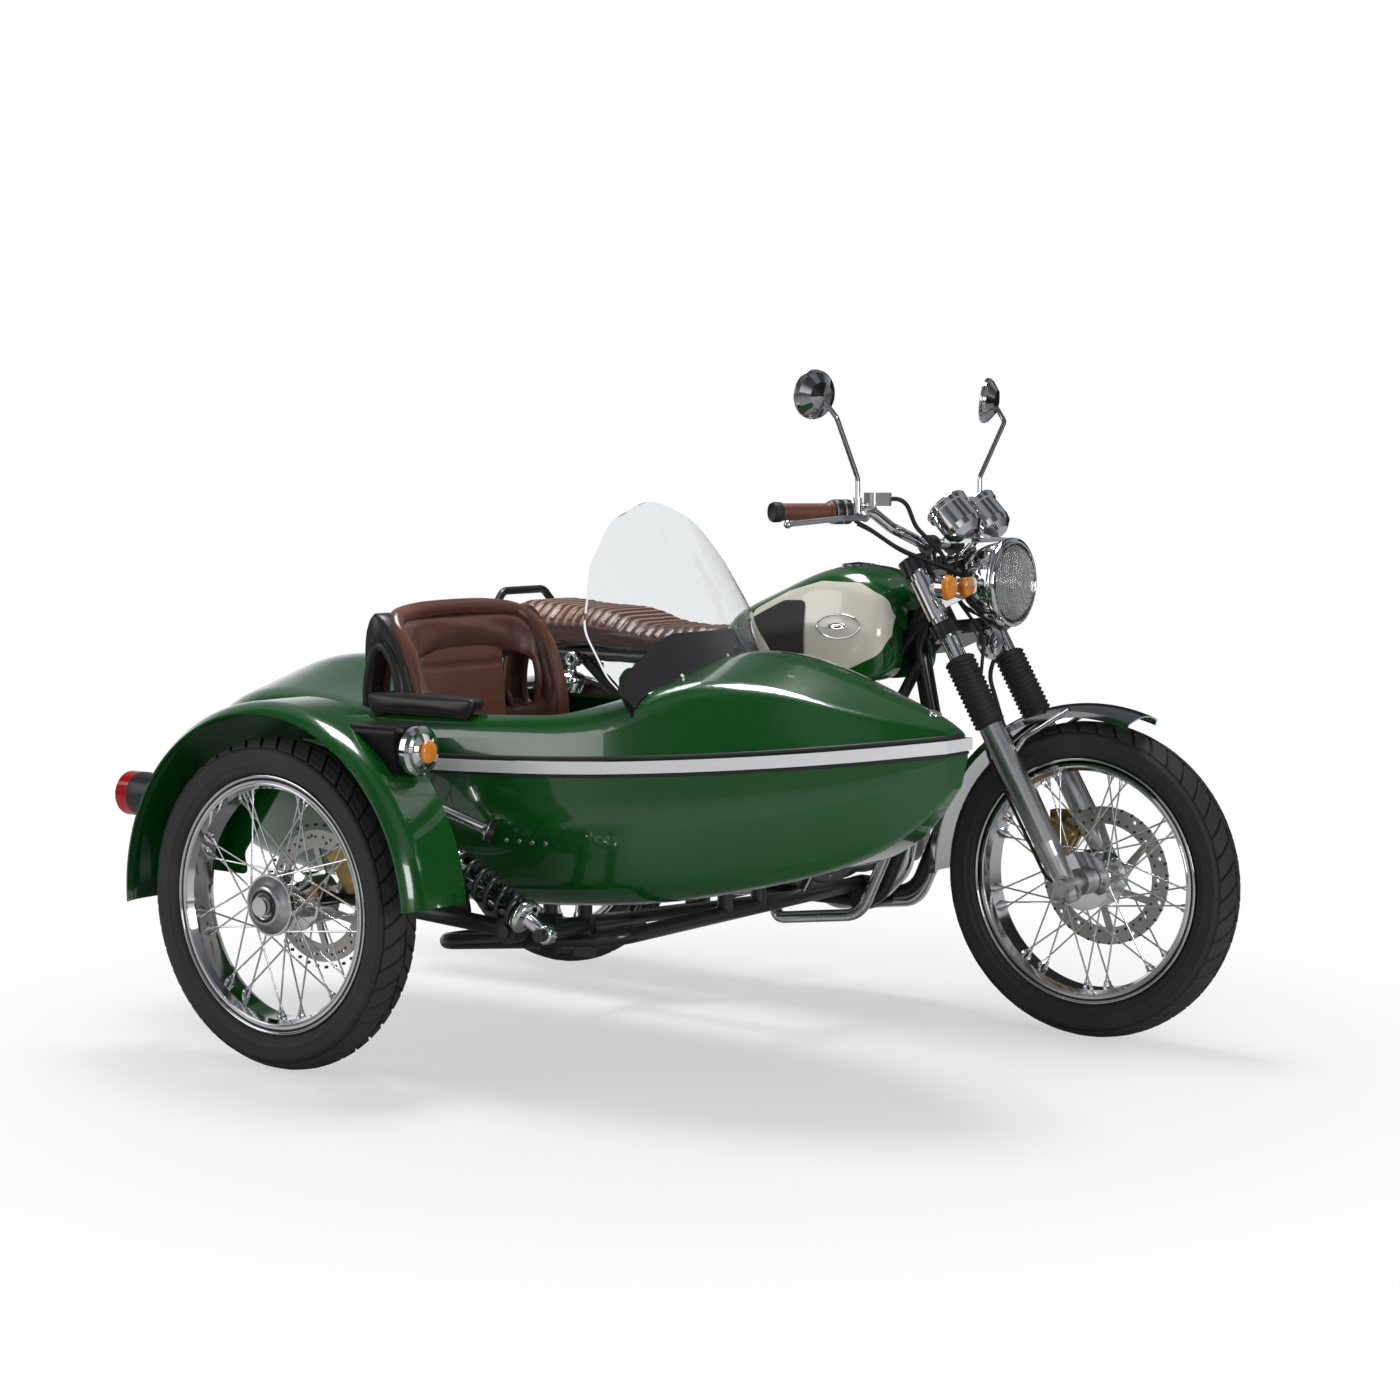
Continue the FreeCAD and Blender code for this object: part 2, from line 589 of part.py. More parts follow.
def calliper(centre, disc_y, disc_r, angle, gap=1.5):
    """A block over the disc's edge, open in a slot for the disc."""
    a = math.radians(angle)
    mid = centre + V((disc_r - 16) * math.cos(a), disc_y, (disc_r - 16) * math.sin(a))
    half_l, half_h, half_w = 46, 34, 24
    body = Part.makeBox(2 * half_h, 2 * half_w, 2 * half_l, V(-half_h, -half_w, -half_l))
    body = body.makeFillet(9, body.Edges)
    slot = Part.makeBox(4 * half_h, DISC_T + 2 * gap, 3 * half_l,
                        V(24 - 4 * half_h, -DISC_T / 2 - gap, -1.5 * half_l))
    body = body.cut(slot)
    body.rotate(V(0, 0, 0), Y_AXIS, -angle)
    body.translate(mid)
    return body


def make_front_calliper():
    body = calliper(FRONT, FRONT_DISC_Y, FRONT_DISC_R, 152)
    near = leg_point(150, LEG_Y)
    arm = box(near.x - 60, near.x - 6, FRONT_DISC_Y + 16, LEG_Y + 6, near.z - 70, near.z - 10)
    arm = arm.cut(rod(leg_point(-20, LEG_Y), leg_point(300, LEG_Y), SLIDER_R))
    nodes["front_calliper"] = solid_of(join([body, arm]).cut(nodes["fork_sliders"]))


def make_cables():
    """The speedometer cable and the front brake hose, each held along its whole route."""
    n, w = NECK_X, WHEELBASE
    speedo = tube([(w - 28, -50, 302), (w - 68, -54, 312), tuple(leg_point(120, -66, -52)),
                   tuple(leg_point(300, -66, -52)), tuple(leg_point(400, -58, -30)),
                   tuple(leg_point(520, -46, 46)), (n + 52, -40, 870),
                   (n + 64, -40, BRACKET_Z - 0.3)], 3.5, 60)
    hose = tube([(n - 20, -192, 1059), (n + 4, -146, 1060), (n + 12, -118, 1004), (n + 36, -54, 948),
                 (n + 46, -24, 880), (n + 54, -8, 842), (n + 92, 51, 812), (n + 104, 57, 764),
                 (n + 80, 58, 700), (n + 110, 66, 600), (w - 164, 66, 470), (w - 124, 66, 396)],
                4.5, 60)
    fixed = [nodes[n] for n in ("front_calliper", "hand_controls", "fork_sliders", "front_mudguard",
                                "gauges")]
    nodes["control_cables"] = group([solid_of(speedo.cut(fixed)), solid_of(hose.cut(fixed))])


# ------------------------------------------------------------------ bike frame and engine
def make_frame():
    head_low = leg_point(LOWER_CLAMP + CLAMP_T / 2 + 3, 0, -LEG_OFFSET)
    head_high = leg_point(UPPER_CLAMP - CLAMP_T / 2 - 3, 0, -LEG_OFFSET)
    head = rod(head_low, head_high, HEAD_R)
    mid = (head_low + head_high) * 0.5
    backbone = tube([(mid.x - 6, 0, mid.z), (900, 0, BACKBONE_Z), (520, 0, BACKBONE_Z - 30)], 24, 80)
    down = tube([tuple(leg_point(642, 0, -LEG_OFFSET)), (950, 0, 762), (984, 0, 600), (1000, 0, 470)],
                FRAME_R + 2)
    gusset = prism(Part.makePolygon([V(952, -3, 800), V(905, -3, BACKBONE_Z), V(968, -3, 650),
                                     V(950, -3, 762),
                                     V(952, -3, 800)]), (0, 6, 0))
    fork_piece = rod((1000, -CRADLE_Y, 470), (1000, CRADLE_Y, 470), FRAME_R)
    front = join([head, backbone, down, gusset, fork_piece])
    front = front.cut(rod(head_low - LEG_DIR * 20, head_high + LEG_DIR * 20, HEAD_BORE))
    bearings = [rod(head_low, head_low + LEG_DIR * BEARING_H, HEAD_R),
                rod(head_high - LEG_DIR * BEARING_H, head_high, HEAD_R)]
    bearings = [b.cut(rod(head_low - LEG_DIR * 20, head_high + LEG_DIR * 20,
                          STEM_R + AXLE_FIT)) for b in bearings]
    pads = [box(x - 20, x + 20, -TANK_TUNNEL_HALF + 8, TANK_TUNNEL_HALF - 8, BACKBONE_Z - 20,
                TANK_TUNNEL_Z)
            for x in (830, 600)]
    nodes["frame_front"] = join([front] + bearings + pads)

    rails = []
    for side in (-1, 1):
        y = side * CRADLE_Y
        up = side * UPRIGHT_Y
        rails.append(tube([(1000 - FRAME_R * 0.2, y, 470 - FRAME_R), (CRADLE_FRONT, y, CRADLE_Z),
                           (PIVOT_X + 30, y, CRADLE_Z), (PIVOT_X, up, PIVOT_Z - 60), (PIVOT_X, up,
                                                                                      PIVOT_Z + 60),
                           (PIVOT_X + 50, up, SEAT_RAIL_Z - 34)], CRADLE_R, 70))
    low = CRADLE_Z - 20
    cross = [rod((x, -CRADLE_Y, low), (x, CRADLE_Y, low), 8) for x in (840, PIVOT_X + 90)]
    plate = []
    for side in (-1, 1):
        y = side * (UPRIGHT_Y + CRADLE_R - 1)
        plate.append(prism(loop([(PIVOT_X - 34, y, PIVOT_Z - 50), (PIVOT_X + 60, y, PIVOT_Z - 70),
                                 (PIVOT_X + 50, y, PIVOT_Z + 70), (PIVOT_X - 34, y, PIVOT_Z + 50)], 16),
                           (0, side * -6, 0)))
    pivot_half = ARM_Y - ARM_BOSS / 2 - 0.3
    pivot = rod((PIVOT_X, -pivot_half, PIVOT_Z), (PIVOT_X, pivot_half, PIVOT_Z), 16)
    nodes["frame_cradle"] = solid_of(join(rails + cross + plate + [pivot]).cut(nodes["frame_front"]))

    rear = []
    for side in (-1, 1):
        y = side * SEAT_RAIL_Y
        top = side * UPRIGHT_Y
        rear.append(tube([(PIVOT_X + 56, top, SEAT_RAIL_Z - 17), (PIVOT_X - 20, y, SEAT_RAIL_Z),
                          (80, y, SEAT_RAIL_Z),
                          (-110, y, SEAT_RAIL_Z + 6)], FRAME_R - 4, 60))
        rear.append(tube([(PIVOT_X + 4, side * (UPRIGHT_Y + 10), PIVOT_Z + 75),
                          (150, y, SEAT_RAIL_Z - 6)], FRAME_R - 5))
        rear.append(rod((150, side * (SEAT_RAIL_Y - 6), SEAT_RAIL_Z - 8),
                        (150, side * (SEAT_RAIL_Y + 36), SEAT_RAIL_Z - 8), 9))
    for x, z in ((PIVOT_X - 40, SEAT_RAIL_Z), (60, SEAT_RAIL_Z), (-105, SEAT_RAIL_Z + 6)):
        rear.append(rod((x, -SEAT_RAIL_Y, z), (x, SEAT_RAIL_Y, z), FRAME_R - 6))
    rear.append(rod((PIVOT_X + 54, -UPRIGHT_Y, SEAT_RAIL_Z - 16),
                    (PIVOT_X + 54, UPRIGHT_Y, SEAT_RAIL_Z - 16), FRAME_R - 4))
    nodes["frame_rear"] = solid_of(join(rear).cut(nodes["frame_cradle"]))


def make_engine():
    bottom = CASE_BOTTOM
    shape = loop([(905, -95, bottom + 30), (905, -95, bottom + 150), (860, -95, bottom + 205),
                  (640, -95, bottom + 215),
                  (520, -95, bottom + 150), (520, -95, bottom + 40), (590, -95, bottom)], 30)
    case = prism(shape, (0, 190, 0))
    covers = [rod((800, -128, 370), (800, -90, 370), 96), rod((640, -122, 362), (640, -90, 362), 78),
              rod((815, 90, 365), (815, 132, 365), 84), rod((640, 90, 352), (640, 118, 352), 60)]
    nodes["crankcase"] = join([case] + covers)
    lean = V(math.sin(math.radians(CYL_LEAN)), 0, math.cos(math.radians(CYL_LEAN)))
    base = V(CYL_X, 0, CYL_Z)
    fins = []
    for i in range(FINS):
        grow = 8 if i >= FINS - 4 else 0
        at = base + lean * (22 + FIN_PITCH * i)
        fin = prism(loop([(-84 - grow, -80 - grow, 0), (84 + grow, -80 - grow, 0),
                          (84 + grow, 80 + grow, 0),
                          (-84 - grow, 80 + grow, 0)], 26), (0, 0, FIN_T))
        fin.rotate(V(0, 0, 0), Y_AXIS, CYL_LEAN)
        fin.translate(at)
        fins.append(fin)
    core = Part.makeCylinder(58, 34 + FIN_PITCH * FINS, base - lean * 6, lean)
    top = prism(loop([(-62, -56, 0), (62, -56, 0), (62, 56, 0), (-62, 56, 0)], 20), (0, 0, 34))
    top.rotate(V(0, 0, 0), Y_AXIS, CYL_LEAN)
    top.translate(base + lean * (20 + FIN_PITCH * FINS))
    nodes["cylinder"] = solid_of(join([core, top] + fins).cut(nodes["crankcase"]))
    rear_face = V(CYL_X - 50, 0, CYL_Z + 130)
    carb = join([rod(rear_face, (620, 0, 590), 24), rod((676, 0, 540), (676, 0, 640), 30),
                 prism(loop([(625, -28, 500), (625, -28, 670), (480, -28, 672), (470, -28, 500)], 24),
                       (0, 56, 0))])
    case_cut = rod((CYL_X - 30, 0, CYL_Z - 10), (CYL_X + 0, 0, CYL_Z + 230), 40)
    nodes["airbox"] = solid_of(carb.cut(nodes["cylinder"]).cut(case_cut).cut(nodes["frame_rear"]))


def make_exhaust():
    run = CASE_BOTTOM - 26
    path = [(880, -28, 604), (950, -28, 596), (966, -28, 470), (930, -28, 300), (870, -28, run),
            (640, -28, run),
            (540, -150, run), (430, EXHAUST_Y, 264)]
    pipe = tube(path, 21, 70)
    a, b = V(430, EXHAUST_Y, 264), V(-190, EXHAUST_Y, 330)
    length = (b - a).Length
    can = turned([(0, -20), (22, -20), (46, 60), (48, length - 60), (40, length), (24, length),
                  (24, length - 30),
                  (0, length - 30)], a, b - a)
    hanger = rod((400, EXHAUST_Y + 34, 282), (430, -UPRIGHT_Y - CRADLE_R + 2, 310), 7)
    fixed = [nodes[n] for n in ("cylinder", "frame_cradle", "frame_front")]
    nodes["exhaust"] = solid_of(join([pipe, can, hanger]).cut(fixed))


# ------------------------------------------------------------------ tank, seat and tail
TANK_STATIONS = (           # x, half width, underside, top, upper corner radius
    (508, 78, 712, 788, 24),
    (600, 112, 704, 846, 44),
    (720, 134, 690, 896, 62),
    (840, 140, 684, 916, 70),
    (905, 128, 692, 890, 66),
    (936, 84, 730, 846, 50))


def tank_solid(grow):
    wires = []
    for x, half, low, high, radius in TANK_STATIONS:
        h = half + grow
        wires.append(section(x, 0, [(-h * 0.9, low), (h * 0.9, low), (h, (low + high) / 2),
                                    (h * 0.72, high - 6),
                                    (0, high + 6), (-h * 0.72, high - 6), (-h, (low + high) / 2)],
                             [22, 22, 60, radius, 160, radius, 60]))
    return loft(wires)


def make_tank():
    body = tank_solid(0)
    tunnel = box(400, 1000, -TANK_TUNNEL_HALF, TANK_TUNNEL_HALF, 600, TANK_TUNNEL_Z)
    nodes["fuel_tank"] = solid_of(body.cut(tunnel).cut(tube([(980, 0, 800), (900, 0, BACKBONE_Z),
                                                             (520, 0, BACKBONE_Z - 30)],
                                                            32, 60)).cut(box(880, 1000, -24, 24, 600,
                                                                             830)))
    outline = loop([(600, 60, 732), (740, 60, 711), (862, 60, 714), (924, 60, 744), (942, 60, 800),
                    (926, 60, 856), (872, 60, 888), (780, 60, 890), (690, 60, 866), (600, 60, 824)],
                   [10, 10, 40, 40, 40, 40, 50, 60, 60, 10])
    pad_line = loop([(578, 60, 732), (750, 60, 711), (757, 60, 800), (748, 60, 850), (690, 60, 848),
                     (592, 60, 804)],
                    [20, 12, 60, 14, 40, 20])
    side_prism, pad_prism = prism(outline, (0, 240, 0)), prism(pad_line, (0, 240, 0))
    panel = tank_solid(1.6).common(side_prism.cut(pad_prism)).cut(body)
    pad = tank_solid(6).common(pad_prism).cut(body)
    nodes["tank_panels"] = group(both_sides(panel))
    nodes["knee_pads"] = group(both_sides(pad))
    cap = V(800, 0, 900)
    nodes["fuel_cap"] = solid_of(turned([(0, 0), (36, 0), (38, 14), (34, 22), (0, 26)], cap,
                                        Z_AXIS).cut(body))


SEAT_STATIONS = (           # x, half width, underside, top
    (500, 88, 728, 782),
    (390, 122, 726, 786),
    (285, 134, 726, 800),
    (200, 136, 728, 822),
    (60, 132, 732, 826),
    (-70, 120, 738, 822),
    (-92, 104, 748, 806))


def make_seat():
    wires = []
    for x, half, low, high in SEAT_STATIONS:
        wires.append(section(x, 0, [(-half * 0.94, low), (half * 0.94, low), (half, high - 26),
                                    (half * 0.6, high),
                                    (-half * 0.6, high), (-half, high - 26)], [8, 8, 22, 40, 40, 22]))
    nodes["seat"] = loft(wires)
    rail = tube([(-107, -SEAT_RAIL_Y, SEAT_RAIL_Z + 8), (-107, -SEAT_RAIL_Y, 806), (-110, -70, 842),
                 (-110, 70, 842),
                 (-107, SEAT_RAIL_Y, 806), (-107, SEAT_RAIL_Y, SEAT_RAIL_Z + 8)], 9, 30)
    nodes["grab_rail"] = solid_of(rail.cut(nodes["frame_rear"]))


def make_tail():
    r_in = TYRE_R + 28
    shell = channel(REAR, r_in + GUARD_T, 74, GUARD_DROP, GUARD_T, 42, 168)
    hang = [box(-118, -92, side * 60 - 4, side * 60 + 4, 630, SEAT_RAIL_Z + 4) for side in (-1, 1)]
    front_hang = [box(52, 70, side * 60 - 4, side * 60 + 4, 640, SEAT_RAIL_Z + 4) for side in (-1, 1)]
    guard = join([shell] + hang + front_hang)
    nodes["rear_mudguard"] = solid_of(guard.cut(nodes["frame_rear"]))

    arm = prism(loop([(-180, -24, 580), (-330, -24, 560), (-372, -24, 600), (-372, -24, 650),
                      (-180, -24, 640)], 10),
                (0, 48, 0))
    arm = solid_of(arm.cut(turned([(0, -60), (r_in + GUARD_T - 74 * 0.2 + 6, -60), (r_in + GUARD_T, 0),
                                   (r_in + GUARD_T - 74 * 0.2 + 6, 60), (0, 60)], REAR, Y_AXIS)))
    lamp = turned([(0, 0), (52, 0), (52, 16), (44, 34), (0, 40)], (-368, 0, 622), V(-1, 0, 0))
    plate = box(-366, -362, -90, 90, 430, 562)
    neck = box(-366, -356, -22, 22, 555, 600)
    holes = [rod((-380, y, 545), (-340, y, 545), 3.5) for y in (-70, 70)]
    stalks = [rod((-340, -165, 618), (-340, 165, 618), 7)]
    signals = [turned([(0, -20), (20, -14), (26, 4), (22, 26), (0, 34)], (-340, y, 618),
                      V(-1, 0, 0)) for y in (-172, 172)]
    tail = join([arm, lamp, plate, neck] + stalks + signals)
    nodes["tail_lamp"] = solid_of(tail.cut(holes).cut(nodes["rear_mudguard"]))


def make_side_covers():
    outline = loop([(470, 112, 690), (250, 112, 690), (300, 112, 520), (400, 112, 470),
                    (470, 112, 540)], 36)
    cover = prism(outline, (0, 10, 0))
    peg = rod((360, SEAT_RAIL_Y + 2, 680), (360, 114, 680), 8)
    clip = box(354, 366, SEAT_RAIL_Y - 4, SEAT_RAIL_Y + 4, 674, SEAT_RAIL_Z)
    one = join([cover, peg, clip]).cut(nodes["frame_rear"])
    nodes["side_covers"] = group(both_sides(solid_of(one)))


def make_swingarm():
    parts = []
    for side in (-1, 1):
        y = side * ARM_Y
        parts.append(tube([(PIVOT_X, y, PIVOT_Z), (20, y, TYRE_R)], ARM_R))
        parts.append(disc((PIVOT_X, y, PIVOT_Z), Y_AXIS, 26, ARM_BOSS))
        parts.append(box(-40, 30, y - 8, y + 8, TYRE_R - 24, TYRE_R + 24))
        parts.append(rod((55, y, 335), (55, side * (ARM_Y + 34), 345), 9))
    parts.append(rod((PIVOT_X - 70, -ARM_Y, PIVOT_Z - 6), (PIVOT_X - 70, ARM_Y, PIVOT_Z - 6), 20))
    parts.append(rod((0, -ARM_Y - 22, TYRE_R), (0, ARM_Y + 22, TYRE_R), AXLE_R))
    hub_end = SPROCKET_Y + SPROCKET_T / 2
    parts.append(rod((0, hub_end + 0.6, TYRE_R), (0, ARM_Y - 6, TYRE_R), 14))
    parts.append(rod((0, -abs(REAR_DISC_Y) - DISC_T / 2 - 0.6, TYRE_R), (0, -ARM_Y + 6, TYRE_R), 14))
    calliper_block = calliper(REAR, REAR_DISC_Y, REAR_DISC_R, 32)
    lug = box(60, 100, -ARM_Y, REAR_DISC_Y - 12, 326, 352)
    nodes["swingarm"] = solid_of(join(parts).cut(nodes["frame_cradle"]))
    nodes["brake_callipers"] = solid_of(join([calliper_block, lug]).cut(nodes["swingarm"]))
    shocks = []
    for side in (-1, 1):
        y = side * (SEAT_RAIL_Y + 32)
        low, high = V(55, y, 345), V(150, y, SEAT_RAIL_Z - 8)
        along = (high - low).normalize()
        rows = [(9, 34), (30, 34), (30, 44)]
        length = (high - low).Length
        coils = 12
        pitch = (length - 44 - 90) / coils
        for i in range(coils):
            rows.append((24, 44 + pitch * (i + 0.5)))
            rows.append((30, 44 + pitch * (i + 1)))
        rows += [(33, length - 88), (33, length - 34), (9, length - 30)]
        body = turned([(0, 6)] + [(9, 6)] + rows + [(9, length - 6), (0, length - 6)], low, along)
        eyes = [disc(low, Y_AXIS, 17, 24), disc(high, Y_AXIS, 17, 24)]
        shocks.append(join([body] + eyes))
    unit = group(shocks)
    fixed = [nodes["swingarm"], nodes["frame_rear"]]
    nodes["rear_shocks"] = group([solid_of(s.cut(fixed)) for s in unit.Solids])


def make_chain():
    small = 34.0
    y = SPROCKET_Y
    gap = 3.0
    def belt(grow):
        r0, r1 = SPROCKET_R + grow, small + grow
        a, b = V(0, 0, TYRE_R), V(600, 0, 352)
        length = (b - a).Length
        tilt = math.atan2(b.z - a.z, b.x - a.x)
        open_angle = math.acos((r0 - r1) / length)
        def at(c, r, ang):
            return V(c.x + r * math.cos(ang), y, c.z + r * math.sin(ang))
        up, down = tilt + open_angle, tilt - open_angle
        edges = [Part.LineSegment(at(a, r0, up), at(b, r1, up)).toShape(),
                 Part.Arc(at(b, r1, up), at(b, r1, tilt), at(b, r1, down)).toShape(),
                 Part.LineSegment(at(b, r1, down), at(a, r0, down)).toShape(),
                 Part.Arc(at(a, r0, down), at(a, r0, tilt + math.pi), at(a, r0, up)).toShape()]
        return Part.Face(Part.Wire(edges))
    ring = belt(gap + 12).extrude(V(0, 12, 0)).cut(belt(gap).extrude(V(0, 12, 0)))
    ring.translate(V(0, -6, 0))
    nodes["drive_chain"] = solid_of(ring.cut(nodes["crankcase"]))


def make_foot_controls():
    parts = []
    for side in (-1, 1):
        foot = sorted((side * CRADLE_Y, side * (SPROCKET_Y + 29)))
        plate = sorted((side * (SPROCKET_Y + 19), side * (SPROCKET_Y + 29)))
        peg = join([rod((495, side * 98, 300), (495, side * 175, 300), 9),
                    rod((495, side * 172, 300), (495, side * 240, 304), 15),
                    box(478, 514, *foot, CRADLE_Z - 8, CRADLE_Z + 16), box(478, 514, *plate,
                                                                           CRADLE_Z - 8, 314)])
        parts.append(solid_of(peg.cut(nodes["frame_cradle"])))
    lever = tube([(600, 122, 300), (600, 150, 300), (690, 156, 290), (690, 186, 290)], 7, 14)
    boss = rod((600, 116, 300), (600, 126, 300), 12)
    parts.append(join([lever, boss]).cut(nodes["crankcase"]))
    nodes["foot_controls"] = group([solid_of(p) for p in parts])


def make_engine_guard():
    bars = []
    for side in (-1, 1):
        y = side * GUARD_BAR_Y
        bars.append(tube([(1002, side * (CRADLE_Y - 4), 488), (1000, y, 470), (926, y, 302),
                          (882, y, 210),
                          (666, y, 182), (652, side * CRADLE_Y, CRADLE_Z - 8)], GUARD_BAR_R, 60))
    cross = rod((1000, -CRADLE_Y, 500), (1000, CRADLE_Y, 500), GUARD_BAR_R)
    guard = join(bars + [cross])
    nodes["engine_guard"] = solid_of(guard.cut(nodes["frame_front"]).cut(nodes["frame_cradle"]))


# ------------------------------------------------------------------ sidecar body
# Each row: x, width share, bottom share, keel above the floor, shoulder share, shoulder up, top up
BODY_STATIONS = (
    (-300, 0.36, 0.26, 108, 0.30, 26, 46),
    (-215, 0.68, 0.50, 62, 0.56, 56, 92),
    (40, 0.95, 0.68, 16, 0.76, 104, 184),
    (300, 1.00, 0.73, 0, 0.91, 92, 118),
    (640, 1.00, 0.72, 8, 0.90, 92, 112),
    (860, 0.97, 0.68, 30, 0.84, 106, 166),
    (980, 0.90, 0.61, 50, 0.72, 132, 196),
    (1130, 0.76, 0.48, 86, 0.56, 122, 178),
    (1280, 0.54, 0.28, 138, 0.37, 74, 116),
    (1375, 0.31, 0.12, 204, 0.19, 44, 70),
    (NOSE_X, 0.12, 0.05, 270, 0.07, 22, 34))


def sheer(x):
    """Height of the waist line, rising towards the nose."""
    return SHEER_Z + 0.0284 * (x - 500) + 4.7e-5 * (x - 500) ** 2


def hull_solid(inset, top_extra):
    wires = []
    for x, width, bottom, keel, _, _, _ in BODY_STATIONS:
        x = max(min(x, NOSE_X - inset), -300 + inset)
        w, b = BODY_HALF * width - inset, BODY_HALF * bottom - inset * 0.6
        low, high = BODY_FLOOR + keel + inset, sheer(x) + top_extra
        wires.append(section(x, BODY_Y, [(-b, low), (b, low), (w, (low * 0.35 + sheer(x) * 0.65)),
                                         (w, high), (-w, high),
                                         (-w, (low * 0.35 + sheer(x) * 0.65))],
                             [b * 0.5, b * 0.5, w * 0.4, 0, 0, w * 0.4]))
    return loft(wires)


def deck_solid(inset, low_extra):
    wires = []
    for x, width, _, _, share, shoulder, top in BODY_STATIONS:
        x = max(min(x, NOSE_X - inset), -300 + inset)
        w, s = BODY_HALF * width - inset, BODY_HALF * share - inset
        low = sheer(x) + SEAM - low_extra
        wires.append(section(x, BODY_Y, [(-w, low), (w, low), (s, sheer(x) + shoulder - inset),
                                         (0, sheer(x) + top - inset), (-s,
                                                                       sheer(x) + shoulder - inset)],
                             [0, 0, s * 0.35, s * 0.9, s * 0.35]))
    return loft(wires)


def make_sidecar_body():
    hull = hull_solid(0, 0).cut(hull_solid(WALL, 5))
    nodes["sidecar_hull"] = solid_of(hull)
    deck = deck_solid(0, 0).cut(deck_solid(WALL, 5))
    opening = prism(loop([(COCKPIT_REAR, BODY_Y - COCKPIT_HALF, 500),
                          (COCKPIT_FRONT, BODY_Y - COCKPIT_HALF, 500),
                          (COCKPIT_FRONT, BODY_Y + COCKPIT_HALF, 500), (COCKPIT_REAR,
                                                                        BODY_Y + COCKPIT_HALF, 500)],
                         [40, COCKPIT_R, COCKPIT_R, 40]), (0, 0, 500))
    nodes["sidecar_deck"] = solid_of(deck.cut(opening))

    def band(grow, half_h):
        wires = []
        for x, width, *_ in BODY_STATIONS:
            w = BODY_HALF * width + grow
            x = x + grow if x == NOSE_X else x
            z = sheer(x)
            wires.append(section(x, BODY_Y, [(-w, z - half_h), (w, z - half_h), (w, z + half_h),
                                             (-w, z + half_h)], 0))
        return loft(wires)
    strip = band(STRIP_T, STRIP_H / 2).cut(band(3.0, STRIP_H))
    nodes["waist_strip"] = solid_of(strip.cut(box(-400, -240, BODY_Y - 300, BODY_Y + 300, 400, 700)))


def screen_band(radius, thick, low, high):
    """A leaning sheet, round in plan, from one height to another."""
    centre_x = SCREEN_X - SCREEN_R
    run = (high - low)
    lean = V(-SCREEN_LEAN * run, 0, run)
    start_x = centre_x - SCREEN_LEAN * (low - SCREEN_Z)
    def half_ring(r):
        a = math.radians(60)
        c = V(start_x, BODY_Y, low)
        p0 = c + V(r * math.cos(a), -r * math.sin(a), 0)
        p1 = c + V(r * math.cos(a), r * math.sin(a), 0)
        return p0, c + V(r, 0, 0), p1
    o, i = half_ring(radius), half_ring(radius - thick)
    edges = [Part.Arc(*o), Part.LineSegment(o[2], i[2]), Part.Arc(i[2], i[1], i[0]),
             Part.LineSegment(i[0], o[0])]
    return Part.Face(Part.Wire([e.toShape() for e in edges])).extrude(lean)


def make_windscreen():
    sheet = screen_band(SCREEN_R, SCREEN_T, 640, SCREEN_TOP + 20)
    h = SCREEN_HALF
    right = [(h - 32, 660), (h, 745), (h, 832), (h - 60, 944), (126, 1022), (0, SCREEN_TOP + 8)]
    corners = [(0, BODY_Y - y, z) for y, z in right] + [(0, BODY_Y + y, z) for y, z in right[-2::-1]]
    bends = [4, 60, 90, 150, 150, 150]
    outline = loop(corners, bends + bends[-2::-1])
    dome = prism(outline, (1500, 0, 0))
    clear = deck_solid(-1.0, 0)
    glass = sheet.common(dome).cut(clear)
    nodes["windscreen"] = solid_of(glass)
    skirt = screen_band(SCREEN_R - SCREEN_T - 0.4, 4, 640, 842)
    h2 = SCREEN_HALF - 10
    low_line = loop([(0, BODY_Y - h2, 640), (0, BODY_Y - h2, 736), (0, BODY_Y - 130, 820),
                     (0, BODY_Y + 130, 820),
                     (0, BODY_Y + h2, 736), (0, BODY_Y + h2, 640)], [4, 50, 150, 150, 50, 4])
    skirt = skirt.common(prism(low_line, (1500, 0, 0))).cut(deck_solid(0, 0))
    nodes["screen_skirt"] = solid_of(skirt)


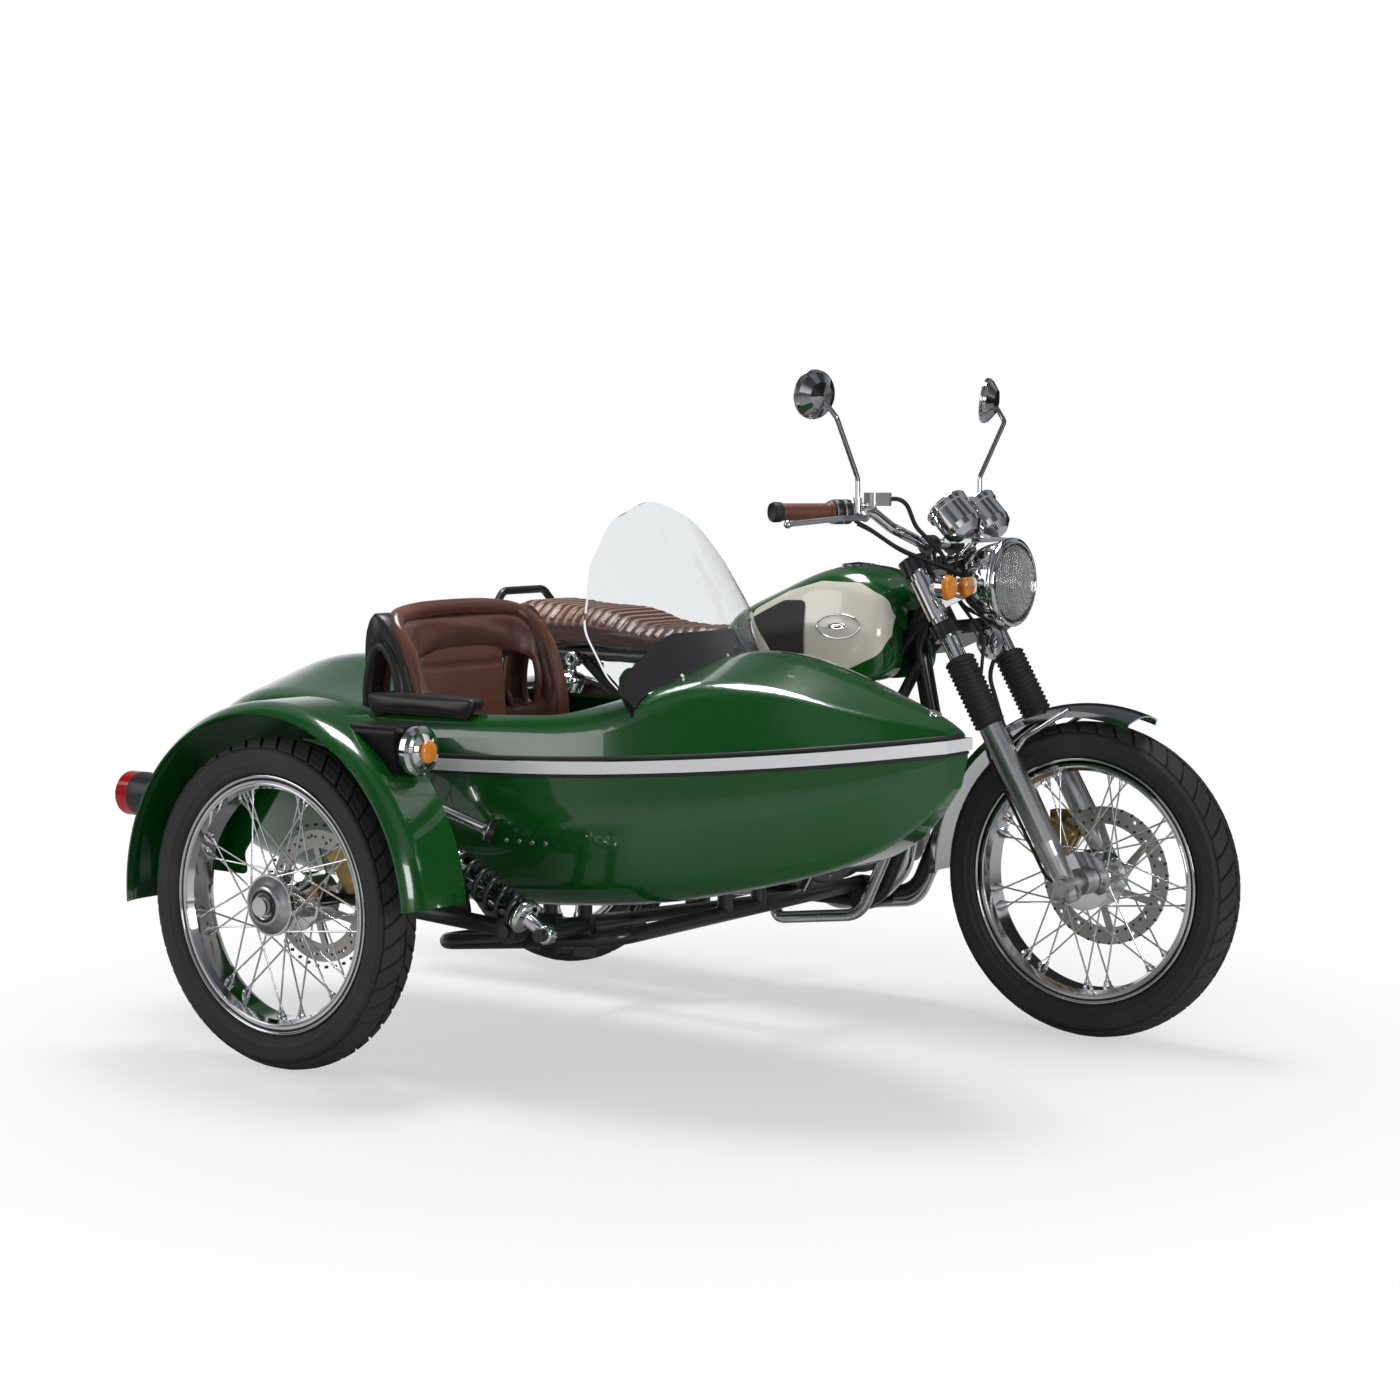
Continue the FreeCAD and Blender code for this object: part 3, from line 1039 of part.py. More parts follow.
def make_sidecar_seat():
    x0, half, thick = 236.0, 230.0, 46.0
    base = prism(loop([(x0 + 60, BODY_Y - 205, 440), (700, BODY_Y - 205, 440), (700, BODY_Y + 205, 440),
                       (x0 + 60, BODY_Y + 205, 440)], 40), (0, 0, 92))

    def tub_line(inset):
        left, right, rear = BODY_Y + half - inset, BODY_Y - half + inset, x0 + inset * 1.2
        return prism(loop([(rear, right, 440), (500, right, 440), (500, left, 440), (rear, left, 440)],
                          [120 - inset, 0, 0, 120 - inset]), (0, 0, 460))
    side_shape = loop([(x0 - 6, BODY_Y - half, 470), (356, BODY_Y - half, 470),
                       (372, BODY_Y - half, 668),
                       (350, BODY_Y - half, 764), (300, BODY_Y - half, 838), (x0 - 6, BODY_Y - half,
                                                                              868)],
                      [4, 20, 60, 70, 60, 14])
    tub = tub_line(0).cut(tub_line(thick)).common(prism(side_shape, (0, 2 * half, 0)))
    window = prism(loop([(x0 + 10, BODY_Y - half - 5, 636), (x0 + 86, BODY_Y - half - 5, 630),
                         (x0 + 84, BODY_Y - half - 5, 720), (x0 + 52, BODY_Y - half - 5, 776),
                         (x0 + 14, BODY_Y - half - 5, 740)], 30), (0, 2 * half + 10, 0))
    nodes["sidecar_seat"] = join([base, tub.cut(window)])
    pedestal = box(x0 + 80, 680, BODY_Y - 160, BODY_Y + 160, BODY_FLOOR - 20, 439.7)
    nodes["seat_base"] = solid_of(pedestal.common(hull_solid(WALL, 5)))
    y = BODY_Y - COCKPIT_HALF - 28
    rest = prism(loop([(284, y, 645), (536, y, 645), (556, y, 694), (274, y, 694)], 8), (0, 45, 0))
    nodes["armrest"] = solid_of(rest.cut(deck_solid(0, 0)))


def make_sidecar_mudguard():
    a0, a1 = 4, 184
    crown = arc_prism(SIDE, MG_R - MG_T, MG_R, -MG_OUT + 46, -MG_IN - MG_T, a0, a1)
    edge = turned([(MG_R, 0), (MG_LIP_R, -46, MG_R - 6, -28), (MG_LIP_R - MG_T, -46),
                   (MG_R - MG_T, 0, MG_R - 6 - MG_T, -26)], V(SIDE.x, -MG_OUT + 46, SIDE.z), Y_AXIS)
    edge = edge.common(arc_prism(SIDE, 200, 460, -MG_OUT - 20, -MG_IN, a0, a1))
    wall = arc_prism(SIDE, 300, MG_R, -MG_IN - MG_T, -MG_IN, a0, a1)
    rear_wall = prism(loop([(WHEEL_LEAD - 345, -MG_IN - MG_T, 340),
                            (WHEEL_LEAD - 180, -MG_IN - MG_T, 340),
                            (WHEEL_LEAD - 190, -MG_IN - MG_T, 380), (WHEEL_LEAD - 120, -MG_IN - MG_T,
                                                                     470),
                            (WHEEL_LEAD - 20, -MG_IN - MG_T, 600), (WHEEL_LEAD - 300, -MG_IN - MG_T,
                                                                    600)], [4, 10, 20, 20, 4, 4]),
                      (0, MG_T, 0)).common(Part.makeCylinder(MG_R, 400, V(SIDE.x, -MG_OUT, SIDE.z),
                                                             Y_AXIS))
    mounts = []
    for angle in (62, 118):
        rad = math.radians(angle)
        p = V(SIDE.x + (MG_R - 30) * math.cos(rad), -MG_IN, SIDE.z + (MG_R - 30) * math.sin(rad))
        mounts.append(box(p.x - 20, p.x + 20, -MG_IN - 1, BODY_Y - BODY_HALF + 16, p.z - 4, p.z + 4))
    guard = join([crown, edge, wall, rear_wall] + mounts)
    nodes["sidecar_mudguard"] = solid_of(guard.cut(deck_solid(0, 0)))

    pod = box(405, 556, 4 - TRACK, 94 - TRACK, 560, 657)
    pod = pod.makeFillet(14, [e for e in pod.Edges if abs(e.BoundBox.XLength) > 100])
    pod = pod.cut(Part.makeCylinder(MG_R + 0.3, 300, V(SIDE.x, -TRACK - 100, SIDE.z), Y_AXIS))
    nodes["lamp_pod"] = solid_of(pod)
    nodes["marker_lamp"] = turned([(0, 0.3), (40, 0.3), (46, 14), (46, 26), (40, 32), (32, 33),
                                   cap(32, 33, 44)],
                                  (556, 49 - TRACK, 613), X_AXIS)
    tail = turned([(0, -30), (38, -30), (43, 24), (43, 66), (36, 74), cap(36, 74, 86)],
                  (-70, -TRACK, 490), V(-1, 0, 0))
    nodes["sidecar_tail_lamp"] = solid_of(tail.cut(Part.makeCylinder(MG_R + 0.3, 300,
                                                                     V(SIDE.x, -TRACK - 100, SIDE.z), Y_AXIS)))


def make_sidecar_frame():
    inner_y = -CRADLE_Y - CRADLE_R
    rail = tube([(RAIL_FRONT, inner_y, RAIL_FRONT_Z), (RAIL_FRONT, RAIL_Y, RAIL_FRONT_Z),
                 (RAIL_REAR, RAIL_Y, RAIL_REAR_Z), (RAIL_REAR, inner_y, 172)], RAIL_R, 60)
    second = tube([(RAIL_FRONT, -300, RAIL_FRONT_Z), (RAIL_REAR, -300, 184)], RAIL_R - 2)
    posts = []
    for x, low in ((RAIL_FRONT, RAIL_FRONT_Z), (RAIL_REAR, 190)):
        for y in (BODY_Y + 90, BODY_Y + 200):
            posts.append(rod((x, y, low), (x, y, BODY_FLOOR + 60), 15))
    arm_y = -TRACK + SIDE_DISC_Y + 36
    mounts = []
    for x, z in (ARM_PIVOT, SHOCK_LOW):
        mounts.append(rod((x, arm_y - 26, z), (x, RAIL_Y + 9, z), 12))
        mounts.append(box(x - 20, x + 20, RAIL_Y - 9, RAIL_Y + 9, z - 56, z + 14))
    clamps = [box(RAIL_FRONT - 16, RAIL_FRONT + 16, -96, -60, CRADLE_Z - 14, RAIL_FRONT_Z + 12),
              box(RAIL_REAR - 14, RAIL_REAR + 40, -90, -72, 160, CRADLE_Z)]
    frame = join([rail, second] + posts + mounts + clamps)
    nodes["sidecar_frame"] = solid_of(frame.cut([nodes["frame_cradle"], nodes["engine_guard"],
                                                 hull_solid(0, 0)]))
    struts = [rod((PIVOT_X + 58, -UPRIGHT_Y - 8, SEAT_RAIL_Z - 22), (RAIL_REAR + 2, -300, 186), 12),
              rod((958, -17, 720), (RAIL_FRONT, -300, RAIL_FRONT_Z + 8), 12)]
    cuts = [nodes[n] for n in ("frame_rear", "frame_front", "frame_cradle", "side_covers",
                               "sidecar_frame")]
    struts = [solid_of(s.cut(cuts)) for s in struts]
    foot, tip = V(624, BODY_Y - BODY_HALF + 4, 452), V(462, -MG_IN + 2, 540)
    flange = Part.makeCylinder(20, 12, foot, tip - foot)
    stay = join([rod(foot, tip, 9), flange]).cut([hull_solid(0, 0), nodes["sidecar_mudguard"]])
    nodes["sidecar_struts"] = group(struts + [solid_of(stay)])
    pivot = V(ARM_PIVOT[0], arm_y, ARM_PIVOT[1])
    low, high = V(SHOCK_LOW[0], arm_y, SHOCK_LOW[1]), V(SHOCK_HIGH[0], arm_y, SHOCK_HIGH[1])
    arm = tube([tuple(pivot), (WHEEL_LEAD, arm_y, TYRE_R)], 16)
    eye = disc(pivot, Y_AXIS, 24, 40).cut(disc(pivot, Y_AXIS, 12, 60))
    axle = rod((WHEEL_LEAD, -TRACK - 62, TYRE_R), (WHEEL_LEAD, arm_y + 24, TYRE_R), AXLE_R)
    collar = rod((WHEEL_LEAD, -TRACK + SIDE_DISC_Y + DISC_T / 2 + 0.6, TYRE_R),
                 (WHEEL_LEAD, arm_y + 10, TYRE_R), 19)
    hub_end = HUB_HALF + FLANGE_T / 2
    nut = rod((WHEEL_LEAD, -TRACK - hub_end - 0.6, TYRE_R), (WHEEL_LEAD, -TRACK - 62, TYRE_R), 18)
    lever = prism(loop([(high.x - 40, arm_y + 12, 300), (high.x + 46, arm_y + 12, 300),
                        (high.x + 18, arm_y + 12, high.z + 16), (high.x - 18, arm_y + 12,
                                                                 high.z + 16)], 10), (0, 9, 0))
    pin = rod(high - V(0, 14, 0), high + V(0, 16, 0), 9)
    arm = join([arm, axle, collar, nut, lever, pin]).cut(disc(pivot, Y_AXIS, 12, 60))
    nodes["sidecar_swingarm"] = join([solid_of(arm), eye])
    along = (high - low).normalize()
    length = (high - low).Length
    rows = [(0, 8), (12, 8), (12, 46), (33, 50), (33, 66)]
    coils = 6
    pitch = (length - 66 - 40) / coils
    for i in range(coils):
        rows += [(26, 66 + pitch * (i + 0.5)), (34, 66 + pitch * (i + 1))]
    rows += [(30, length - 36), (30, length - 24), (12, length - 18), (12, length - 8), (0, length - 8)]
    eyes = [disc(low, Y_AXIS, 18, 26), disc(high, Y_AXIS, 16, 18)]
    shock = join([turned(rows, low, along)] + eyes)
    nodes["sidecar_shock"] = solid_of(shock.cut([nodes["sidecar_swingarm"], nodes["sidecar_frame"]]))
    block = calliper(SIDE, SIDE_DISC_Y, SIDE_DISC_R, 38)
    lug = box(344, 386, -TRACK + SIDE_DISC_Y + 12, arm_y, 326, 372)
    third = solid_of(join([block, lug]).cut(nodes["sidecar_swingarm"]))
    nodes["brake_callipers"] = group([nodes["brake_callipers"], third])


# ------------------------------------------------------------------ build and write
def make_all():
    make_wheels()
    make_fork()
    make_front_mudguard()
    make_headlamp()
    make_gauges()
    make_horn()
    make_handlebar()
    make_front_signals()
    make_front_calliper()
    make_cables()
    make_frame()
    make_engine()
    make_exhaust()
    make_tank()
    make_seat()
    make_tail()
    make_side_covers()
    make_swingarm()
    make_chain()
    make_foot_controls()
    make_engine_guard()
    make_sidecar_body()
    make_windscreen()
    make_sidecar_seat()
    make_sidecar_mudguard()
    make_sidecar_frame()


make_all()
os.makedirs("parts", exist_ok=True)
whole = Part.makeCompound(list(nodes.values()))
extent = whole.optimalBoundingBox(False, False)
shift = V(-(extent.XMin + extent.XMax) / 2, -(extent.YMin + extent.YMax) / 2, -extent.ZMin)
print("shift", [round(v, 3) for v in shift], "size", round(extent.XLength), round(extent.YLength),
      round(extent.ZLength))
for name, shape in nodes.items():
    if not shape.isValid() or not shape.Solids:
        print("BAD", name, shape.isValid(), len(shape.Solids))
    shape.translate(shift)
    shape.exportStep("parts/%s.step" % name)
print(len(nodes), "nodes")
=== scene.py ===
# %% [markdown]
# # A motorcycle with a sidecar
# The construction comes from a CAD model that is loaded first and never changed.  This
# script dresses it: paint, chrome, rubber and leather, and the shapes a rigid solid can't
# give, such as tyre treads, stitched seats, spring coils and a chain.

# %% Load the frame
import math

import bmesh
import bpy
import numpy as np
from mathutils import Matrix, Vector
from mathutils.bvhtree import BVHTree


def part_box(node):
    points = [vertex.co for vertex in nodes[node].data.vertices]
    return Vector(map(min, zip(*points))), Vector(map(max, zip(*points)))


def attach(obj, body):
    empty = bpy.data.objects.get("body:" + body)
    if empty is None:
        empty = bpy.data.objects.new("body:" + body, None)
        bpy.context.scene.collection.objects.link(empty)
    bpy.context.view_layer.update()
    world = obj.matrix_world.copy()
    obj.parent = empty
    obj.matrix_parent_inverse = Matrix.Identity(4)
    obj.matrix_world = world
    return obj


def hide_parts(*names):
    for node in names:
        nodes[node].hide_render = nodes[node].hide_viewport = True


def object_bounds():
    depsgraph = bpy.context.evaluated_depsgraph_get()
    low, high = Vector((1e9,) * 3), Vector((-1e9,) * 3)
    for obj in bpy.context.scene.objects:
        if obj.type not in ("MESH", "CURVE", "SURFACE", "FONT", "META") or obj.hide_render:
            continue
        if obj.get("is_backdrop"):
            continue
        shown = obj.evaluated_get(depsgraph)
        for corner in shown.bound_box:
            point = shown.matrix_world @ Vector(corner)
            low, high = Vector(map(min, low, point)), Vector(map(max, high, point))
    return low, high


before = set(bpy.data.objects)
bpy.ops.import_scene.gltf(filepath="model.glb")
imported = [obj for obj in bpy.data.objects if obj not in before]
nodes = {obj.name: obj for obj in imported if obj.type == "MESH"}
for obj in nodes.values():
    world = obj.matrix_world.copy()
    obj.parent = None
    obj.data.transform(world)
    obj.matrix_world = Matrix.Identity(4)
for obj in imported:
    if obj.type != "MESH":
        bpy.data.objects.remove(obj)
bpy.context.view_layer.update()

# %% [markdown]
# ## Where things are
# The CAD frame's origin is in the middle of the ground plan.  A motorcycle is easier to
# think about from its rear axle, so every place below is written in millimetres from the
# ground under the rear axle: x forwards, y to the rider's left, z up.  The rear tyre's own
# box says where that point is.

# %% A motorcycle's own coordinates
MM = 0.001
tyre_low, tyre_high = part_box("rear_tyre")
AXLE = np.array([(tyre_low.x + tyre_high.x) / 2, (tyre_low.y + tyre_high.y) / 2, 0.0])


def place(points):
    """Millimetres from the rear axle's ground point to metres in the CAD frame."""
    return np.asarray(points, float) * MM + AXLE


def centre_of(node):
    low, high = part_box(node)
    return (np.array(low) + np.array(high)) / 2


REAR = centre_of("rear_tyre")
FRONT = centre_of("front_tyre")
SIDE = centre_of("sidecar_tyre")
TYRE_R = (tyre_high.z - tyre_low.z) / 2
SIDES = ((-1, "right"), (1, "left"))
# Each wheel's name, middle and body, and how far left of its middle plane its brake disc is.
WHEELS = (("front", FRONT, "front_wheel_unit", 60), ("rear", REAR, "rear_wheel_unit", -62),
          ("sidecar", SIDE, "sidecar_wheel_unit", 100))
print("wheels at", REAR.round(3), FRONT.round(3), SIDE.round(3), "radius", round(TYRE_R, 3))

# %% [markdown]
# ## The camera
# A long lens from the right front, a little above the axles.

# %% Camera
CAMERA_AZIMUTH, CAMERA_RISE = 36.552, 5.106
CAMERA_LENS = 68.55


def look_from(azimuth, rise):
    """Unit vector from the subject to a camera, azimuth 0 being straight out to the right."""
    a, e = math.radians(azimuth), math.radians(rise)
    return Vector((math.sin(a) * math.cos(e), -math.cos(a) * math.cos(e), math.sin(e)))


eye = bpy.data.cameras.new("eye")
eye.lens, eye.sensor_width = CAMERA_LENS, 36.0
eye.clip_end = 200
camera = bpy.data.objects.new("eye", eye)
camera.location = place((3829.94, -4638.92, 1132.50))
camera.rotation_mode = "QUATERNION"
camera.rotation_quaternion = (-look_from(CAMERA_AZIMUTH, CAMERA_RISE)).to_track_quat("-Z", "Y")
bpy.context.scene.collection.objects.link(camera)
bpy.context.scene.camera = camera
bpy.context.scene.view_settings.view_transform = "Standard"
print("camera at", [round(v, 2) for v in camera.location])

# %% [markdown]
# ## Shader arithmetic
# A finish is a sum over a few patterns.  Written as a Python expression it can be read at a
# glance, so one small class wraps a socket and turns + - * / into Math nodes.

# %% Expressions on sockets
class Wire:
    """One output socket that takes part in sums."""

    def __init__(self, tree, socket):
        self.tree, self.socket = tree, socket

    def math(self, how, *values):
        return self.tree.node("ShaderNodeMath", {"operation": how}, *values)

    def __add__(self, other):
        return self.math("ADD", self, other)

    def __sub__(self, other):
        return self.math("SUBTRACT", self, other)

    def __rsub__(self, other):
        return self.math("SUBTRACT", other, self)

    def __mul__(self, other):
        return self.math("MULTIPLY", self, other)

    def __pow__(self, other):
        return self.math("POWER", self, other)

    def __gt__(self, other):
        return self.math("GREATER_THAN", self, other)

    def __lt__(self, other):
        return self.math("LESS_THAN", self, other)

    __radd__, __rmul__ = __add__, __mul__

    def fit(self, low, high, to_low=0.0, to_high=1.0):
        """Smoothly carries low..high onto to_low..to_high, and clamps."""
        return self.tree.node("ShaderNodeMapRange", {"interpolation_type": "SMOOTHSTEP"},
                              self, low, high, to_low, to_high)

    def paint(self, low, high):
        """A colour between two others, with this value as the share of the second."""
        return self.tree.node("ShaderNodeMix", {"data_type": "RGBA"}, self, out=2, A_Color=low,
                              B_Color=high)


class Tree:
    """The nodes of a material, or of a sky when kind is "worlds"."""

    def __init__(self, name, kind="materials"):
        self.owner = getattr(bpy.data, kind).new(name)
        self.owner.use_nodes = True
        self.nodes, self.links = self.owner.node_tree.nodes, self.owner.node_tree.links
        self.shader = self.nodes.get("Principled BSDF")

    def node(self, kind, settings=None, *values, out=0, **named):
        """A node of a kind: its settings first, then its inputs in order, then inputs by
        identifier.  It gives back one of its outputs."""
        made = self.nodes.new(kind)
        for key, value in (settings or {}).items():
            if key == "stops":
                ramp = made.color_ramp
                while len(ramp.elements) < len(value):
                    ramp.elements.new(0.5)
                for element, (at, shade) in zip(ramp.elements, value):
                    element.position, element.color = at, (*shade, 1.0)
            else:
                setattr(made, key, value)
        by_identifier = {s.identifier: s for s in made.inputs}
        for socket, value in list(zip(made.inputs, values)) + [(by_identifier[k], v) for k,
                                                               v in named.items()]:
            self.put(socket, value)
        return Wire(self, made.outputs[out])

    def put(self, socket, value):
        if value is None:
            return
        if isinstance(value, Wire):
            self.links.new(value.socket, socket)
        elif socket.type == "RGBA" and len(value) == 3:
            socket.default_value = (*value, 1.0)
        else:
            socket.default_value = value

    def sine(self, value):
        return self.node("ShaderNodeMath", {"operation": "SINE"}, value)

    def split(self, where):
        """The x, y and z of a vector."""
        return [self.node("ShaderNodeSeparateXYZ", None, where, out=k) for k in range(3)]

    def seen(self):
        """1 for what the camera sees by itself or through glass, 0 in reflections."""
        return self.node("ShaderNodeMath", {"operation": "MAXIMUM"}, self.node("ShaderNodeLightPath"),
                         self.node("ShaderNodeLightPath", None, out=6))

    def coords(self, centre=(0, 0, 0)):
        """Object coordinates, moved so that a pattern is centred on a piece."""
        here = self.node("ShaderNodeTexCoord", None, out=3)
        moved = self.node("ShaderNodeVectorMath", {"operation": "SUBTRACT"}, here, tuple(centre))
        return self.node("ShaderNodeMapping", None, moved)

    def noise(self, where, scale, detail=3.0, rough=0.55):
        return self.node("ShaderNodeTexNoise", None, where, None, scale, detail, rough)

    def cells(self, where, scale, feature="F1"):
        return self.node("ShaderNodeTexVoronoi", {"feature": feature}, where, None, scale)

    def bump(self, height, strength, distance=0.001):
        return self.node("ShaderNodeBump", None, strength, distance, None, height)

    def surface(self, **sockets):
        """Sets the main shader's own sockets, with _ for a space in a name."""
        for name, value in sockets.items():
            self.put(self.shader.inputs[name.replace("_", " ")], value)
        return self.owner


print("shader words ready")

# %% [markdown]
# ## Studio
# A white sweep under a sky that is bright near the ground and dark above, with three large
# soft lamps.  Chrome only looks like chrome when it has something dark to reflect, so the sky
# has five darker sectors and black cards that the camera can't see stand round the set.

# %% Floor, sky, lamps and cards
WHITE = (1.0, 1.0, 1.0)
SECTORS = 5.0
SKY = ((0.0, (0.72, 0.73, 0.75)), (0.18, (0.6, 0.61, 0.63)), (0.42, (0.24, 0.25, 0.27)),
       (1.0, (0.14, 0.15, 0.17)))


def mesh_object(name, points, faces, smooth=True):
    """A mesh from points (n, 3) and faces, each a row of point numbers, linked to the scene."""
    mesh = bpy.data.meshes.new(name)
    mesh.from_pydata(np.asarray(points, float).tolist(), [], [list(map(int, f)) for f in faces])
    mesh.validate()
    mesh.polygons.foreach_set("use_smooth", [smooth] * len(mesh.polygons))
    mesh.update()
    made = bpy.data.objects.new(name, mesh)
    bpy.context.scene.collection.objects.link(made)
    return made


def lamp(name, at, size, power):
    """A square soft lamp that looks at the middle of the machine."""
    light = bpy.data.lights.new(name, "AREA")
    light.size, light.energy = size, power
    holder = bpy.data.objects.new(name, light)
    holder.location = at
    holder.rotation_euler = (Vector((0, 0, 0.5)) - Vector(at)).to_track_quat("-Z", "Y").to_euler()
    bpy.context.scene.collection.objects.link(holder)


def card(name, low, high):
    """A black upright card between two floor points, seen only in reflections."""
    (x0, y0), (x1, y1) = low, high
    points = [(x0, y0, 0.02), (x1, y1, 0.02), (x1, y1, 2.6), (x0, y0, 2.6)]
    made = mesh_object(name, points, [(0, 1, 2, 3)], False)
    ink = Tree(name)
    made.data.materials.append(ink.surface(Base_Color=(0.01, 0.01, 0.01), Roughness=0.9))
    made.visible_camera = made.visible_diffuse = made.visible_shadow = False
    made.visible_transmission = False
    made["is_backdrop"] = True


SWEEP = 30.0
floor = mesh_object("floor", [(-SWEEP, -SWEEP, 0), (SWEEP, -SWEEP, 0), (SWEEP, SWEEP, 0),
                              (-SWEEP, SWEEP, 0)],
                    [(0, 1, 2, 3)])
floor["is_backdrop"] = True
paper = Tree("floor_paper")
mirrored = paper.node("ShaderNodeLightPath", None, out=3)
paper.surface(Base_Color=mirrored.paint((0.9, 0.9, 0.9), (0.5, 0.5, 0.5)), Roughness=0.75)
reach = paper.node("ShaderNodeVectorMath", {"operation": "LENGTH"}, paper.coords((0.1, -0.1, 0)), out=1)
glow = paper.nodes.new("ShaderNodeEmission")
blend = paper.nodes.new("ShaderNodeMixShader")
paper.put(blend.inputs[0], paper.seen() * (reach.fit(0.6, 1.9) * 0.45 + 0.55))
paper.links.new(paper.shader.outputs[0], blend.inputs[1])
paper.links.new(glow.outputs[0], blend.inputs[2])
paper.links.new(blend.outputs[0], paper.nodes["Material Output"].inputs[0])
floor.data.materials.append(paper.owner)

sky = Tree("sky", "worlds")
bpy.context.scene.world = sky.owner
x, y, z = sky.split(sky.node("ShaderNodeTexCoord"))
bands = sky.node("ShaderNodeValToRGB", {"stops": SKY}, z)
heading = sky.node("ShaderNodeMath", {"operation": "ARCTAN2"}, y, x)
swing = sky.sine(sky.node("ShaderNodeMath", {"operation": "MULTIPLY_ADD"}, heading, SECTORS, 1.0))
level = sky.node("ShaderNodeVectorMath", {"operation": "SCALE"}, bands,
                 Scale=swing.fit(-0.5, 0.5, 0.35, 1.25))
sky.put(sky.nodes["Background"].inputs[0], sky.seen().paint(level, WHITE))

lamp("top_lamp", (-0.6, 0.6, 4.4), 1.5, 130)
lamp("left_lamp", (-3.6, -3.8, 2.4), 3.2, 70)
lamp("front_lamp", (5.2, -1.6, 1.5), 1.6, 70)
card("card_left", (-4.2, -2.0), (-3.4, -5.2))
card("card_front", (4.6, 2.6), (5.6, -1.4))
card("card_far", (-2.6, 4.2), (2.6, 4.4))
print("studio ready")

# %% [markdown]
# ## Paint
# Deep green enamel under clear lacquer.  The colour barely changes over a panel; what makes
# it paint is the sharp reflection in the lacquer and its faint orange-peel ripple.

# %% Painted finishes
def enamel(name, colour, darker, gloss=0.16):
    """Lacquered paint: a slow drift between two near colours and a fine ripple in the coat."""
    t = Tree(name)
    where = t.coords()
    drift = t.noise(where, 3.0, 2)
    peel = t.bump(t.noise(where, 210, 1), 0.035, 0.0006)
    return t.surface(Base_Color=drift.paint(darker, colour), Roughness=t.noise(where, 9, 4) * 0.08 + gloss,
                     Normal=peel, Coat_Weight=1.0, Coat_Roughness=0.03, Specular_IOR_Level=0.5)


def coated_steel(name, colour):
    """Frame enamel: black, a little uneven, dulled by dust where it faces up."""
    t = Tree(name)
    where = t.coords()
    up = t.node("ShaderNodeSeparateXYZ", None, t.node("ShaderNodeNewGeometry", None, out=1), out=2)
    dust = up.fit(0.4, 1.0) * t.noise(where, 14, 4)
    return t.surface(Base_Color=(dust * 0.12).paint(colour, (0.22, 0.2, 0.17)),
                     Roughness=dust * 0.2 + 0.3, Normal=t.bump(t.noise(where, 60, 3), 0.05, 0.001),
                     Coat_Weight=0.4, Coat_Roughness=0.1)


green = enamel("green_enamel", (0.004, 0.09, 0.01), (0.003, 0.068, 0.008))
cream = enamel("cream_enamel", (0.8, 0.75, 0.64), (0.76, 0.71, 0.6), 0.2)
black = coated_steel("black_enamel", (0.012, 0.012, 0.013))

# %% [markdown]
# ## Metal
# Chrome is a clean mirror with a trace of haze; cast alloy is grey and grainy; turned alloy
# sits between.  All three are the same recipe with other numbers.

# %% Metal finishes
def metal(name, colour, rough, haze=0.06, grain=0.0, grain_scale=300, dark=0.0, dark_scale=6, share=1.0,
          gleam=0.5):
    """Bare or plated metal: roughness drifts by haze, grain is cast texture, dark is grime."""
    t = Tree(name)
    where = t.coords()
    smear = t.noise(where, 22, 4)
    grime = t.noise(where, dark_scale, 5, 0.65).fit(0.5, 0.8) * dark
    bumps = t.bump(t.noise(where, grain_scale, 4), grain, 0.0006) if grain else None
    return t.surface(Base_Color=grime.paint(colour, (0.05, 0.045, 0.04)), Metallic=share,
                     Roughness=smear * haze + grime * 0.3 + rough, Normal=bumps,
                     Specular_IOR_Level=gleam)


chrome = metal("chrome_plate", (0.83, 0.83, 0.84), 0.03, 0.05)
# The waist strip is polished metal, but only 0.15 of its finish is metal: the rest is near-white diffuse
# colour, a painted reflection that keeps the strip white.
bright_strip = metal("bright_strip", (0.88, 0.88, 0.88), 0.3, 0.02, share=0.15)
mirror_glass = metal("mirror_glass", (0.72, 0.74, 0.76), 0.015, 0.01)
reflector = metal("lamp_bowl", (0.4, 0.4, 0.42), 0.05, 0.04, 1.0, 45)
alloy = metal("satin_alloy", (0.62, 0.62, 0.63), 0.24, 0.12, 0.08, 420)
cast = metal("cast_alloy", (0.42, 0.42, 0.43), 0.38, 0.2, 0.25, 260, 0.25)
fin_black = metal("black_fins", (0.03, 0.03, 0.032), 0.45, 0.1, 0.2, 220, 0.1)
gloss_black = metal("gloss_black", (0.007, 0.007, 0.008), 0.3, 0.06, share=0.0, gleam=0.2)
gold = metal("gold_alloy", (0.52, 0.36, 0.13), 0.26, 0.1, 0.1, 300)
chain_steel = metal("oiled_steel", (0.25, 0.24, 0.22), 0.32, 0.2, 0.1, 240, 0.5, 40)

# %% [markdown]
# ## Rubber, plastic and leather
# All soft black things differ mainly in grain: tyre rubber is chalky, moulded plastic has a
# fine even texture, and hide has cells with creases between them.

